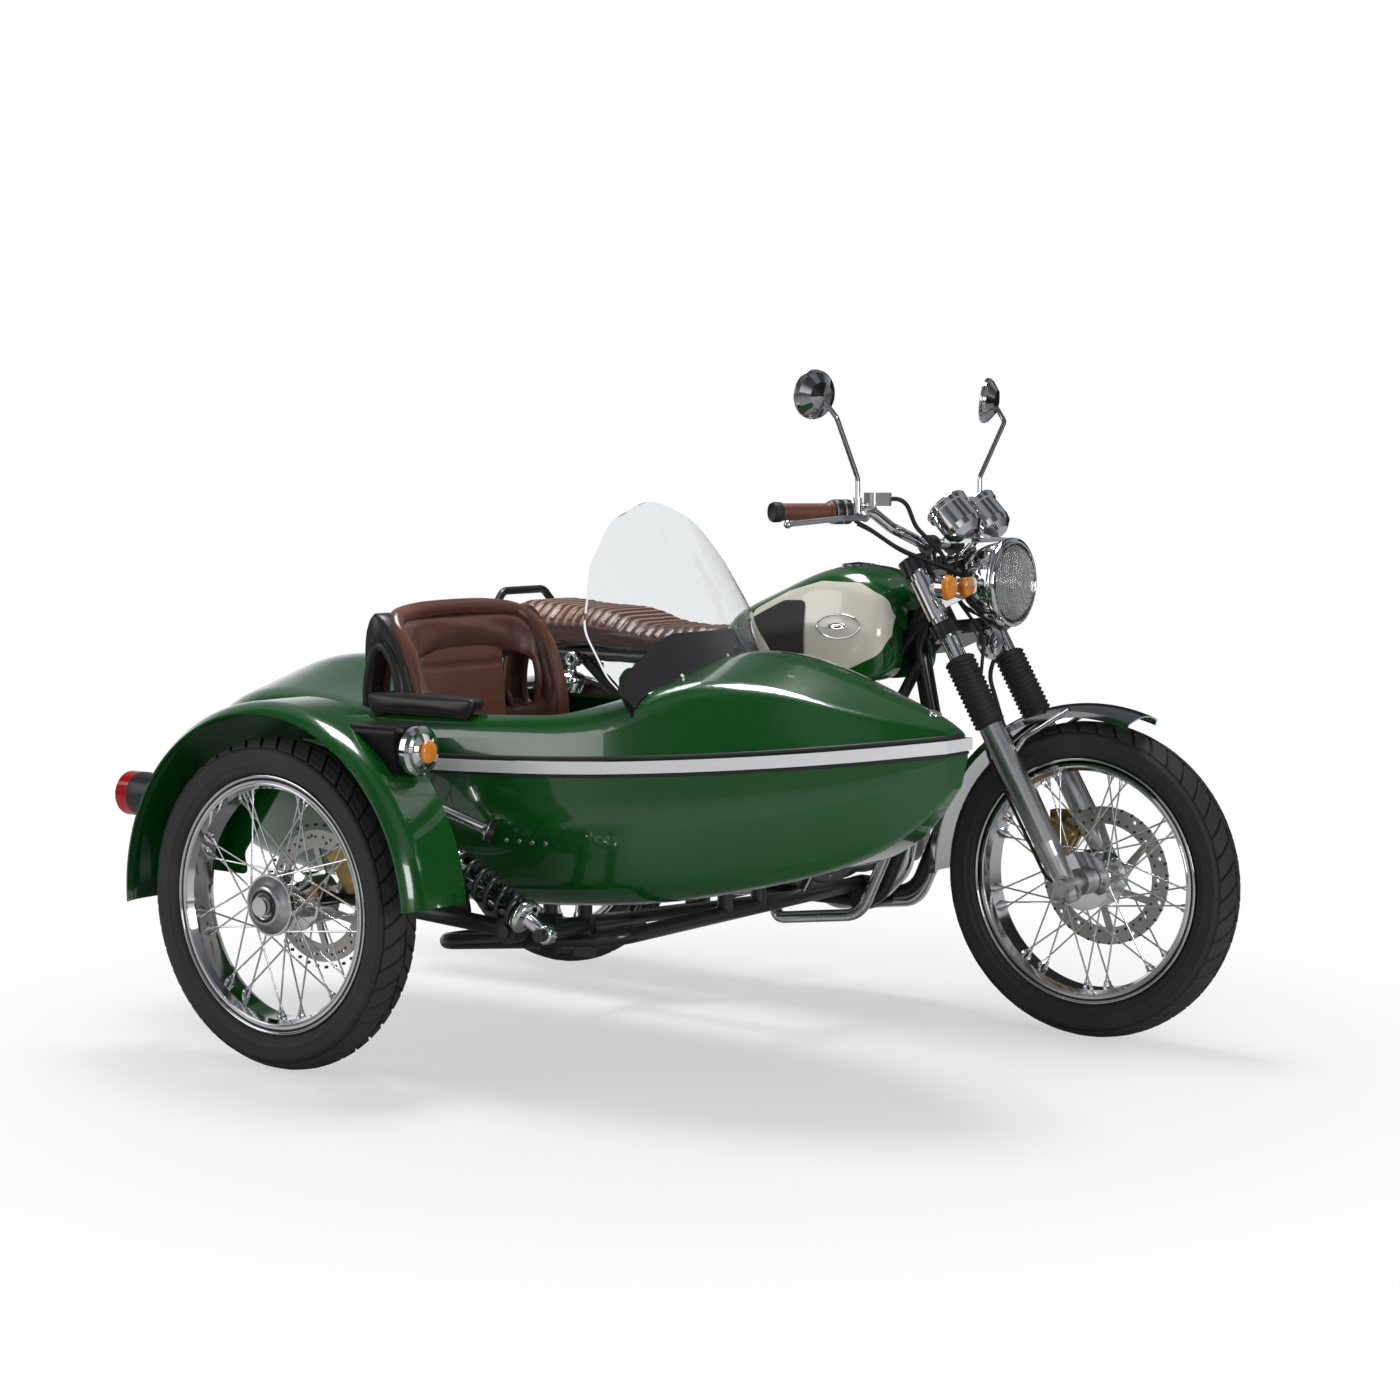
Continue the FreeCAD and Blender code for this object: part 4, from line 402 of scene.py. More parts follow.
# %% Soft finishes
def grained(name, colour, worn, rough, scale, strength, feature="F1", sheen=0.0, wear_scale=5, ribs=0.0,
            shell=None):
    """A matt or half-matt skin with cell-shaped grain and a worn second colour in patches.
    ribs is a pitch in millimetres along x: the crowns of the ribs on the top are painted paler tan, a painted
    highlight.  shell is a box (low, high) outside of which the skin is black."""
    t = Tree(name)
    where = t.coords()
    cells = t.cells(where, scale, feature)
    wear = t.noise(where, wear_scale, 5, 0.6).fit(0.45, 0.75)
    relief = cells + t.noise(where, scale * 0.3, 3) * 0.6
    paint = wear.paint(colour, worn)
    x, y, z = t.split(where)
    if ribs:
        # The rib crowns on the top get a paler tan: a painted highlight, not wear.
        swell = t.sine((x - float(AXLE[0])) * (math.pi / (ribs * MM)))
        crown_highlight = (swell * swell).fit(0.45, 1.0) * z.fit(0.768, 0.79)
        paint = crown_highlight.paint(paint, (0.42, 0.26, 0.18))
    if shell:
        (x0, y0, _), (x1, y1, _) = place(shell[0]), place(shell[1])
        inside = (x > float(x0)) * (x < float(x1)) * (y > float(y0)) * (y < float(y1))
        paint = inside.paint((0.014, 0.013, 0.013), paint)
    return t.surface(Base_Color=paint, Roughness=wear * 0.12 + rough,
                     Normal=t.bump(relief, strength, 0.0008), Sheen_Weight=sheen)


RIB = 24.0          # pitch of the saddle's ribs
LENS_RIBS = 240
rubber = grained("black_rubber", (0.018, 0.018, 0.018), (0.03, 0.029, 0.028), 0.55, 700, 0.15)
plastic = grained("moulded_plastic", (0.016, 0.016, 0.017), (0.022, 0.022, 0.023), 0.36, 900, 0.12)
hide = grained("brown_hide", (0.15, 0.06, 0.04), (0.21, 0.09, 0.065), 0.17, 460, 0.2, "SMOOTH_F1", 0.05, 7)
black_hide = grained("black_hide", (0.015, 0.014, 0.014), (0.024, 0.022, 0.021), 0.36, 460, 0.3,
                     "SMOOTH_F1")
tyre_rubber = grained("tyre_rubber", (0.022, 0.022, 0.022), (0.04, 0.039, 0.037), 0.66, 900, 0.2)
tread_rubber = grained("tread_rubber", (0.03, 0.029, 0.028), (0.05, 0.047, 0.044), 0.72, 700, 0.15)
saddle_hide = grained("saddle_hide", (0.085, 0.03, 0.019), (0.12, 0.045, 0.03), 0.3, 460, 0.25, "SMOOTH_F1",
                      0.05, 7, RIB)
tub_edge = grained("tub_edge", (0.05, 0.02, 0.015), (0.08, 0.035, 0.026), 0.3, 420, 0.25, "SMOOTH_F1", 0.05,
                   7)
tub_hide = grained("tub_hide", (0.11, 0.04, 0.026), (0.16, 0.065, 0.045), 0.3, 420, 0.25, "SMOOTH_F1", 0.05,
                   7,
                   shell=((248, -869, 0), (700, -431, 0)))
panel_hide = grained("panel_hide", (0.23, 0.1, 0.07), (0.29, 0.14, 0.1), 0.38, 460, 0.35, "SMOOTH_F1", 0.05,
                     6)
grip_hide = grained("grip_hide", (0.15, 0.045, 0.024), (0.2, 0.07, 0.04), 0.42, 520, 0.3, "SMOOTH_F1", 0.05,
                    30)
dark_hide = grained("dark_hide", (0.05, 0.017, 0.011), (0.07, 0.025, 0.016), 0.45, 460, 0.3, "SMOOTH_F1")
dial_black = grained("dial_black", (0.012, 0.012, 0.013), (0.018, 0.018, 0.02), 0.3, 900, 0.05)
dial_white = grained("dial_white", (0.7, 0.7, 0.66), (0.64, 0.64, 0.6), 0.5, 900, 0.05)
needle_red = grained("needle_red", (0.5, 0.03, 0.02), (0.42, 0.02, 0.015), 0.4, 900, 0.05)


def clear(name, tint, ior=1.45, flutes=0):
    """Clear sheet or lens: light goes through, and only the gloss shows.  flutes ribs it upright."""
    t = Tree(name)
    wave = t.node("ShaderNodeTexWave", {"bands_direction": "Y"}, t.coords(), flutes,
                  out=1) if flutes else None
    return t.surface(Base_Color=t.noise(t.coords(), 2, 1).paint(tint, tint), Roughness=0.0, IOR=ior,
                     Transmission_Weight=1.0, Normal=t.bump(wave, 0.6, 0.0012) if flutes else None)


def lens(name, colour, deep):
    """Coloured lens: glossy plastic with fine moulded ribs, a deeper colour between them.  It glows faintly
    in the same colours, a painted glow, though the lamp is not lit.
    """
    t = Tree(name)
    where = t.coords()
    rib = t.node("ShaderNodeTexWave", {"bands_direction": "Z"}, where, LENS_RIBS, out=1)
    # The emission is a painted glow: these lamps are off.
    return t.surface(Base_Color=rib.paint(deep, colour), Roughness=0.12, Normal=t.bump(rib, 0.4, 0.0008),
                     Coat_Weight=1.0, Emission_Color=rib.paint(deep, colour), Emission_Strength=0.12)


screen = clear("clear_screen", (0.82, 0.84, 0.85), ior=1.22)
lamp_glass = clear("clear_lens", (0.97, 0.98, 0.98), flutes=55)
amber = lens("amber_lens", (0.85, 0.3, 0.01), (0.6, 0.16, 0.0))
print("materials", len(bpy.data.materials))

# %% [markdown]
# ## Finishes on the CAD pieces
# A CAD node keeps its shape and takes one of the finishes above in its material slot.

# %% Finishes that change over one piece
def blend_number(t, share, low, high):
    return t.node("ShaderNodeMix", {"data_type": "FLOAT"}, share, A_Float=low, B_Float=high)


def zoned(name, colour, metallic, rough, zones):
    """One finish, with others inside boxes: (low, high, colour, metallic, roughness)."""
    t = Tree(name)
    where = t.coords()
    axes = t.split(where)
    drift = t.noise(where, 24, 4)
    paint, metal_share, dull = colour, metallic, rough
    for low, high, other, other_metal, other_rough in zones:
        inside = 1.0
        for axis, a, b in zip(axes, place(low), place(high)):
            inside = (axis > float(a)) * (axis < float(b)) * inside
        paint = inside.paint(paint, other)
        metal_share = blend_number(t, inside, metal_share, other_metal)
        dull = blend_number(t, inside, dull, other_rough)
    return t.surface(Base_Color=paint, Metallic=metal_share, Roughness=drift * 0.08 + dull,
                     Normal=t.bump(t.noise(where, 500, 2), 0.04, 0.0005))


DISC_BAND, RIM_GROOVE = (0.052, 0.142), (0.2325, 0.2375)      # radii in metres


def wheel_finish(name, middle, disc_y):
    """Chrome rim, spokes and hub, and a brake disc turned in fine rings."""
    t = Tree(name)
    where = t.coords(middle)
    x, y, z = t.split(where)
    radius = (x * x + z * z) ** 0.5
    ring = (radius > DISC_BAND[0]) * (radius < DISC_BAND[1]) * (y > (disc_y - 4) * MM) * (y < (disc_y + 4)
                                                                                          * MM)
    groove = (radius > RIM_GROOVE[0]) * (radius < RIM_GROOVE[1])
    lines = t.node("ShaderNodeTexNoise", {"noise_dimensions": "1D"}, None, radius * 1400.0, 1.0, 2.0, 0.5)
    haze = t.noise(where, 22, 4)
    return t.surface(Base_Color=ring.paint(groove.paint((0.83, 0.83, 0.84), (0.06, 0.06, 0.06)),
                                           (0.62, 0.6, 0.56)),
                     Metallic=1.0,
                     Roughness=ring * 0.22 + haze * 0.05 + 0.04 + lines * ring * 0.12,
                     Normal=t.bump(lines * ring, 0.12, 0.0004))


BRIGHT, INK = (0.83, 0.83, 0.84), (0.016, 0.016, 0.017)
AMBER, RED, CARD = (0.75, 0.22, 0.004), (0.42, 0.004, 0.004), (0.62, 0.62, 0.6)
signal_finish = zoned("signal_lamps", BRIGHT, 1.0, 0.04,
                      [((1098, -200, 850), (1130, 200, 920), AMBER, 0.0, 0.1)])
tail_finish = zoned("tail_lamps", INK, 0.0, 0.35, [
    ((-420, -54, 566), (-382, 54, 676), RED, 0.0, 0.1),
                                                   ((-380, -202, 588), (-344, -144, 648), AMBER, 0.0, 0.1),
    ((-380, 144, 588), (-344, 202, 648), AMBER, 0.0, 0.1),
                                                   ((-366.6, -91, 429), (-361, 91, 563), CARD, 0.0, 0.35)])
side_lamp_finish = zoned("side_lamp", INK, 0.0, 0.35,
                         [((-160, -1205, 440), (-106, -1095, 540), RED, 0.0, 0.1)])
mirror_finish = zoned("mirror_metal", (0.5, 0.5, 0.52), 1.0, 0.06,
                      [((800, -420, 1030), (1000, 420, 1104), BRIGHT, 1.0, 0.04)])
side_arm_finish = zoned("sidecar_axle_metal", INK, 0.0, 0.3,
                        [((200, -1250, 250), (340, -1185, 380), BRIGHT, 1.0, 0.12)])

# %% Which finish each node takes
WEARS = {
    chrome: "fork_stanchions front_mudguard headlamp gauges handlebar "
            "fuel_cap rear_mudguard exhaust rear_shocks engine_guard marker_lamp sidecar_shock horn",
    bright_strip: "waist_strip",
    alloy: "fork_sliders hand_controls",
    cast: "crankcase",
    fin_black: "cylinder",
    black: "grab_rail fork_clamps frame_front frame_cradle frame_rear swingarm foot_controls sidecar_frame "
           "sidecar_struts",
    green: "fuel_tank side_covers sidecar_hull sidecar_deck sidecar_mudguard",
    cream: "tank_panels",
    rubber: "fork_gaiters knee_pads control_cables",
    plastic: "airbox seat_base",
    gloss_black: "screen_skirt lamp_pod",
    tyre_rubber: "front_tyre rear_tyre sidecar_tyre",
    hide: "grips seat sidecar_seat",
    black_hide: "armrest",
    screen: "windscreen",
    lamp_glass: "headlamp_glass",
    signal_finish: "front_signals",
    tail_finish: "tail_lamp",
    side_lamp_finish: "sidecar_tail_lamp",
    mirror_finish: "mirrors",
    side_arm_finish: "sidecar_swingarm",
    gold: "front_calliper brake_callipers",
    chain_steel: "drive_chain",
}
for name, middle, _, disc_y in WHEELS:
    WEARS[wheel_finish(name + "_wheel_metal", middle, disc_y)] = name + "_wheel"
for finish, names in WEARS.items():
    for name in names.split():
        slots = nodes[name].data.materials
        slots.clear()
        slots.append(finish)
bare = sorted(set(nodes) - {n for names in WEARS.values() for n in names.split()})
print("nodes without a finish:", bare)

# %% [markdown]
# ## Words for surfaces
# Nearly every piece is a grid: rows of points, one row after another.  One function closes
# the grid, caps its ends and turns its faces outwards, and the others only say where the
# rows are.

# %% Surfaces from rows of points
def skin(name, rows, finish, body, joined=False):
    """A surface over rows (n, m, 3), each of them a closed ring.  joined closes the last row
    onto the first; otherwise the first and last rows are capped."""
    rows = np.asarray(rows, float)
    n, m = rows.shape[:2]
    index = np.arange(n * m).reshape(n, m)
    down = np.roll(index, -1, 0) if joined else index[1:]
    up = index if joined else index[:-1]
    quads = np.stack([up, np.roll(up, -1, 1), np.roll(down, -1, 1), down], -1).reshape(-1, 4)
    points, faces = [rows.reshape(-1, 3)], quads.tolist()
    if not joined:
        for ring, turned_over in ((index[0], True), (index[-1], False)):
            pole = sum(len(p) for p in points)
            points.append(rows.reshape(-1, 3)[ring].mean(0)[None])
            nxt = np.roll(ring, -1)
            faces += [[a, pole, b] if turned_over else [a, b, pole] for a,
                      b in zip(nxt.tolist(), ring.tolist())]
    return finished(mesh_object(name, np.vstack(points), faces), finish, body)


def finished(made, finish, body, solid=True):
    """Gives a piece its finish, its body and its slot, and turns its faces outwards."""
    corners = np.array([v.co for v in made.data.vertices])
    if solid:
        volume = 0.0
        for face in made.data.polygons:
            a, *rest = corners[list(face.vertices)] - corners.mean(0)
            volume += sum(np.dot(a, np.cross(b, c)) for b, c in zip(rest, rest[1:]))
        if volume < 0:
            made.data.flip_normals()
    made.data.materials.append(finish)
    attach(made, body)
    return made


def frame_at(axis):
    """Two unit vectors square to an axis and to each other."""
    axis = np.asarray(axis, float) / np.linalg.norm(axis)
    side = np.cross(axis, (0, 0, 1) if abs(axis[2]) < 0.9 else (1, 0, 0))
    side /= np.linalg.norm(side)
    return axis, side, np.cross(axis, side)


def ring_rows(profile, centre, axis, count):
    """Rows of points round an axis: each profile row is (radius, along), in metres."""
    axis, u, v = frame_at(axis)
    a = np.linspace(0, 2 * np.pi, count, endpoint=False)
    circle = np.cos(a)[:, None] * u + np.sin(a)[:, None] * v
    return np.array([centre + axis * s + circle * max(r, 1e-5) for r, s in profile])


def spun(name, profile, centre, axis, finish, body, count=48, joined=False):
    """A piece of revolution; profile rows are (radius, along) in millimetres."""
    rows = ring_rows(np.array(profile) * MM, np.asarray(centre, float), axis, count)
    return skin(name, rows, finish, body, joined=joined)


def track(points, steps):
    """A smooth line through points: a Catmull-Rom curve, steps points to each run.
    p(t) = p1 + t (p2 - p0)/2 + t^2 (2 p0 - 5 p1 + 4 p2 - p3)/2 + t^3 (3 p1 - p0 - 3 p2 + p3)/2"""
    p = np.vstack([2 * points[0] - points[1], points, 2 * points[-1] - points[-2]])
    t = np.linspace(0, 1, steps, endpoint=False)[:, None]
    runs = [p[i + 1] + t * (p[i + 2] - p[i]) / 2 + t ** 2
            * (2 * p[i] - 5 * p[i + 1] + 4 * p[i + 2] - p[i + 3]) / 2
            + t ** 3 * (3 * p[i + 1] - p[i] - 3 * p[i + 2] + p[i + 3]) / 2 for i in range(len(p) - 3)]
    return np.vstack(runs + [p[-2][None]])


def along(line, radius, sides=10, closed=False):
    """Rows of a tube's points along a line; radius is one number or one for each point."""
    line = np.asarray(line, float)
    step = np.roll(line, -1, 0) - np.roll(line, 1, 0) if closed else np.gradient(line, axis=0)
    step /= np.linalg.norm(step, axis=1)[:, None]
    _, u, _ = frame_at(step[0])
    a = np.linspace(0, 2 * np.pi, sides, endpoint=False)
    rows = []
    for here, way, r in zip(line, step, np.broadcast_to(radius, len(line))):
        u = u - way * np.dot(u, way)
        u /= np.linalg.norm(u)
        rows.append(here + r * (np.cos(a)[:, None] * u + np.sin(a)[:, None] * np.cross(way, u)))
    return np.array(rows)


def many(name, unit, places, finish, body):
    """One small closed shape, unit = (points, faces), set down at many 4x4 places."""
    points, faces = np.asarray(unit[0], float), unit[1]
    whole = [points @ np.asarray(p)[:3, :3].T + np.asarray(p)[:3, 3] for p in places]
    copies = [[i + k * len(points) for i in f] for k in range(len(places)) for f in faces]
    made = mesh_object(name, np.vstack(whole), copies, False)
    return finished(made, finish, body)


def stood(at, axis, size=1.0, turn=0.0):
    """A 4x4 place: local z along axis at a point in metres."""
    w, u, v = frame_at(axis)
    c, s = math.cos(turn), math.sin(turn)
    out = np.eye(4)
    out[:3, :3] = np.stack([u * c + v * s, v * c - u * s, w], 1) * size
    out[:3, 3] = at
    return out


def drum(sides, profile):
    """A small unit shape round z: profile rows (radius, height) in millimetres, capped."""
    a = np.linspace(0, 2 * np.pi, sides, endpoint=False)
    points = [(r * math.cos(t) * MM, r * math.sin(t) * MM, h * MM) for r, h in profile for t in a]
    faces = [[k * sides + i, k * sides + (i + 1) % sides, (k + 1) * sides + (i + 1) % sides,
              (k + 1) * sides + i]
             for k in range(len(profile) - 1) for i in range(sides)]
    last = (len(profile) - 1) * sides
    return points, faces + [list(range(sides))[::-1], list(range(last, last + sides))]


BOLT_WIDTH = 9
HEX = drum(6, [(1.0, -0.3), (1.0, 0.55), (0.86, 0.7), (0.5, 0.7), (0.46, 1.0), (0.2, 1.05)])


def bolts(name, places, axis):
    """Hexagon heads at places in the machine's own coordinates."""
    return many(name, HEX, [stood(p, axis, BOLT_WIDTH / 2) for p in place(places)], chrome, "outfit")


print("surface words ready")

# %% [markdown]
# ## Tyres
# The carcass is a spun profile with rings moulded in its sidewall.  The tread is cut from
# slanted blocks that wrap round the crown, half of them leaning each way, with a zigzag
# groove left along the middle.  The crown is an arc: r(y) = c + sqrt(R^2 - y^2).

# %% Carcass and tread
CROWN_C, CROWN_R, TREAD_DEEP = 246.7, 66.3, 5.0
PITCHES, SLANT = 46, 0.85


def crown(y, depth=0.0):
    """Radius of the tread surface at a distance y from the middle plane, in millimetres."""
    return CROWN_C + np.sqrt((CROWN_R - depth) ** 2 - np.asarray(y, float) ** 2)


def carcass_profile():
    wall = [(228.5, 29), (243, 29.4), (247, 35), (250, 40), (253, 41.5), (255, 41), (262, 45.6),
            (264, 46.9),
            (266, 46.2), (274, 47.4), (284, 46.6), (287, 47), (289, 45.6), (296, 42.3)]
    top = [(float(crown(y, TREAD_DEEP)), y) for y in (40, 30, 18, 6)]
    half = wall + top
    return half + [(r, -y) for r, y in half[::-1]] + [(228.5, 0)]


def tread_blocks():
    """Points and faces of every block round one tyre, about the origin, axis y."""
    step = 2 * np.pi / PITCHES
    across = np.array([2.2, 14.0, 27.0, 40.5])
    points, faces = [], []
    for side in (-1, 1):
        for k in range(PITCHES):
            zigzag = 1.2 * (-1) ** k
            y = across + np.array([zigzag, 0, 0, 0])
            lean = SLANT * across / 313 + (0.5 * step if side > 0 else 0)
            for deep in (0.0, TREAD_DEEP + 1.0):
                grow = 0.006 if deep else 0.0
                for edge in (0.06 * step - grow, 0.86 * step + grow):
                    a = k * step + edge + lean
                    r = crown(y, deep)
                    points += [(q * math.sin(t), side * w, q * math.cos(t)) for q, w, t in zip(r, y, a)]
            first = len(points) - 16
            grid = np.arange(first, first + 16).reshape(2, 2, 4)
            for i in range(3):
                faces.append([grid[0, 0, i], grid[0, 0, i + 1], grid[0, 1, i + 1], grid[0, 1, i]])
                faces += [[grid[0, e, i], grid[1, e, i], grid[1, e, i + 1], grid[0, e, i + 1]]
                          for e in (0, 1)]
            faces += [[grid[0, 0, i], grid[0, 1, i], grid[1, 1, i], grid[1, 0, i]] for i in (0, 3)]
            if side > 0:
                faces[-11:] = [f[::-1] for f in faces[-11:]]
    return np.array(points) * MM, [[int(i) for i in f] for f in faces]


blocks, block_faces = tread_blocks()
for name, middle, body, _ in WHEELS:
    rows = ring_rows(np.array(carcass_profile()) * MM, middle, (0, 1, 0), 96)
    made = skin(name + "_carcass", rows, tyre_rubber, body, joined=True)
    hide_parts(name + "_tyre")
    tread = mesh_object(name + "_tread", blocks + middle, block_faces, False)
    bm = bmesh.new()
    bm.from_mesh(tread.data)
    bmesh.ops.recalc_face_normals(bm, faces=bm.faces)
    bm.to_mesh(tread.data)
    bm.free()
    finished(tread, tread_rubber, body, False)
print("tyres", len(block_faces), "tread faces each")

# %% [markdown]
# ## Springs, gaiters and chain
# A coil is a tube along a helix, a gaiter is a spun zigzag, and a chain is two plates and a
# roller set down about a hundred times round both sprockets.

# %% Coils and bellows
RAKE = math.radians(30)
LEG = np.array([-math.sin(RAKE), 0, math.cos(RAKE)])


def leg_at(up, y):
    """A point on a fork leg, up its length from the axle, y to the left, in millimetres."""
    return FRONT + (LEG * up + np.array([0, y, 0])) * MM


def coil(name, low, high, start, stop, radius, wire, turns, finish, body):
    """A spring from start to stop millimetres along the line low-high, its ends ground flat."""
    low, high = place(low), place(high)
    axis, u, v = frame_at(high - low)
    t = np.linspace(0, 1, turns * 22)
    rise = start + wire + (stop - start - 2 * wire) * np.clip(1.12 * t - 0.06, 0, 1)
    a = 2 * np.pi * turns * t
    line = low + axis * rise[:, None] * MM + (np.cos(a)[:, None] * u + np.sin(a)[:, None] * v) * (radius
                                                                                                  - wire) * MM
    return skin(name, along(line, wire * MM, 8), finish, body)


FOLDS, FOLD_PITCH = 15, 9.7
for side, word in SIDES:
    rows = [(19, 1)]
    for i in range(FOLDS):
        s = 4 + i * FOLD_PITCH
        rows += [(26.5, s), (30.6, s + 2.6), (31.6, s + 4.6), (30.6, s + 6.6)]
    made = spun("gaiter_" + word, rows + [(25, 151), (19, 153)], leg_at(346, side * 97), LEG, rubber,
                "steering",
                36)
    if side < 0:
        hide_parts("fork_gaiters")
    low, high = (55, side * 137, 345), (150, side * 137, 704)
    axis = place(high) - place(low)
    damper = [(6, 6), (14, 8), (20, 16), (20, 34), (29, 36), (30, 42), (21, 44), (17, 46), (17, 190),
              (9, 194), (9, 280),
              (31, 282), (33, 286), (33, 334), (30, 338), (12, 341), (8, 356)]
    made = spun("damper_" + word, damper, place(low), axis, chrome, "outfit")
    if side < 0:
        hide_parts("rear_shocks")
    coil("spring_" + word, low, high, 42, 286, 29, 4.2, 11, black, "outfit")
    for end, at in (("low", low), ("high", high)):
        spun("shock_eye_%s_%s" % (end, word), [(9, -12), (16, -12), (17, -10), (17, 10), (16, 12), (9, 12)],
             place(at),
             (0, 1, 0), chrome, "outfit", 24, True)

SHOCK_LOW, SHOCK_HIGH = (801, -1014, 290), (560, -1014, 412)
axis = place(SHOCK_HIGH) - place(SHOCK_LOW)
body_rows = [(6, 10), (12, 14), (13, 46), (20, 48), (31, 50), (33, 53), (33, 64), (30, 67), (17, 68),
             (17, 150), (10, 152),
             (10, 228), (28, 232), (30, 238), (28, 246), (12, 250), (8, 260)]
made = spun("sidecar_damper", body_rows, place(SHOCK_LOW), axis, chrome, "outfit")
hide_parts("sidecar_shock")
coil("sidecar_spring", SHOCK_LOW, SHOCK_HIGH, 66, 234, 33, 5.2, 6, black, "outfit")
for end, at in (("front", SHOCK_LOW), ("rear", SHOCK_HIGH)):
    spun("sidecar_shock_eye_" + end, [(9, -12), (16, -12), (18, -9), (18, 9), (16, 12), (9, 12)], place(at),
         (0, 1, 0),
         chrome, "outfit", 24, True)
print("springs made")


# %% Drive chain
def chain_line(count):
    """Evenly spaced places and directions round both sprockets, pitch radii 101 and 43."""
    a, b, ra, rb = np.array([0, 313.0]), np.array([600, 352.0]), 101.0, 43.0
    tilt = math.atan2(*(b - a)[::-1])
    opening = math.acos((ra - rb) / np.linalg.norm(b - a))

    def arc(c, r, t0, t1, n):
        t = np.linspace(t0, t1, n)
        return c + r * np.stack([np.cos(t), np.sin(t)], 1)

    loop = np.vstack([arc(b, rb, tilt + opening, tilt - opening, 60),
                      arc(a, ra, tilt - opening, tilt + opening - 2 * np.pi, 120)])
    loop = np.vstack([loop, loop[:1]])
    run = np.concatenate([[0], np.cumsum(np.linalg.norm(np.diff(loop, axis=0), axis=1))])
    at = np.linspace(0, run[-1], count + 1)
    spots = np.stack([np.interp(at, run, loop[:, i]) for i in (0, 1)], 1)
    return (spots[1:] + spots[:-1]) / 2, spots[1:] - spots[:-1]


def link_shape(gap):
    """Two waisted side plates and a roller, along local x."""
    outline = [(-12, 0), (-10.5, 4.4), (-6, 5.4), (0, 3.8), (6, 5.4), (10.5, 4.4), (12, 0), (10.5, -4.4),
               (6, -5.4), (0, -3.8),
               (-6, -5.4), (-10.5, -4.4)]
    points, faces = [], []
    for y0 in (gap, -gap - 1.6):
        first = len(points)
        points += [(x, y, z) for y in (y0, y0 + 1.6) for x, z in outline]
        n = len(outline)
        faces += [[first + i for i in range(n)], [first + n + i for i in range(n)][::-1]]
        faces += [[first + i, first + n + i, first + n + (i + 1) % n, first + (i + 1) % n]
                  for i in range(n)]
    first = len(points)
    points += [(-7.9 + 4 * math.cos(t), y, 4 * math.sin(t)) for y in (-4.6, 4.6) for t in np.arange(8)
               * np.pi / 4]
    faces += [[first + i, first + 8 + i, first + 8 + (i + 1) % 8, first + (i + 1) % 8] for i in range(8)]
    return np.array(points) * MM, [f[::-1] for f in faces]


LINKS, CHAIN_Y, COVERED_FROM = 104, 75, 528
spots, ways = chain_line(LINKS)
for kind, gap in (("inner", 3.0), ("outer", 4.4)):
    places = []
    for i in range(kind == "outer", LINKS, 2):
        if spots[i][0] < COVERED_FROM:
            turn = math.atan2(ways[i][1], ways[i][0])
            stand = np.eye(4)
            stand[0, :3], stand[2, :3] = (math.cos(turn), 0, -math.sin(turn)), (math.sin(turn), 0,
                                                                                math.cos(turn))
            stand[:3, 3] = place((spots[i][0], CHAIN_Y, spots[i][1]))
            places.append(stand)
    made = many("chain_%s_links" % kind, link_shape(gap), places, chain_steel, "outfit")
    if kind == "inner":
        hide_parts("drive_chain")
print("chain links shown", len(places) * 2)

# %% [markdown]
# ## Seats
# A cushion starts as its CAD solid.  It is remeshed, rounded by moving each point towards
# the middle of its neighbours, and inflated as cloth for twenty frames, with a limit on how
# far a point may go.  Seams and sewn ribs come last, because remeshing would lose them.

# %% Rounding and inflating
def neighbours_mean(points, edges):
    total, count = np.zeros_like(points), np.zeros(len(points))
    for a, b in (edges.T, edges.T[::-1]):
        np.add.at(total, a, points[b])
        np.add.at(count, a, 1)
    return total / np.maximum(count, 1)[:, None]


def read(mesh, what="co"):
    """A mesh's points, or its normals."""
    out = np.empty(len(mesh.vertices) * 3)
    mesh.vertices.foreach_get(what, out)
    return out.reshape(-1, 3)


def write_points(mesh, points):
    mesh.vertices.foreach_set("co", np.ascontiguousarray(points).ravel())
    mesh.update()


def settle(made):
    """Applies a piece's modifiers to its mesh."""
    graph = bpy.context.evaluated_depsgraph_get()
    mesh = bpy.data.meshes.new_from_object(made.evaluated_get(graph), depsgraph=graph)
    made.modifiers.clear()
    made.data = mesh


CLOTH_FRAMES = 20


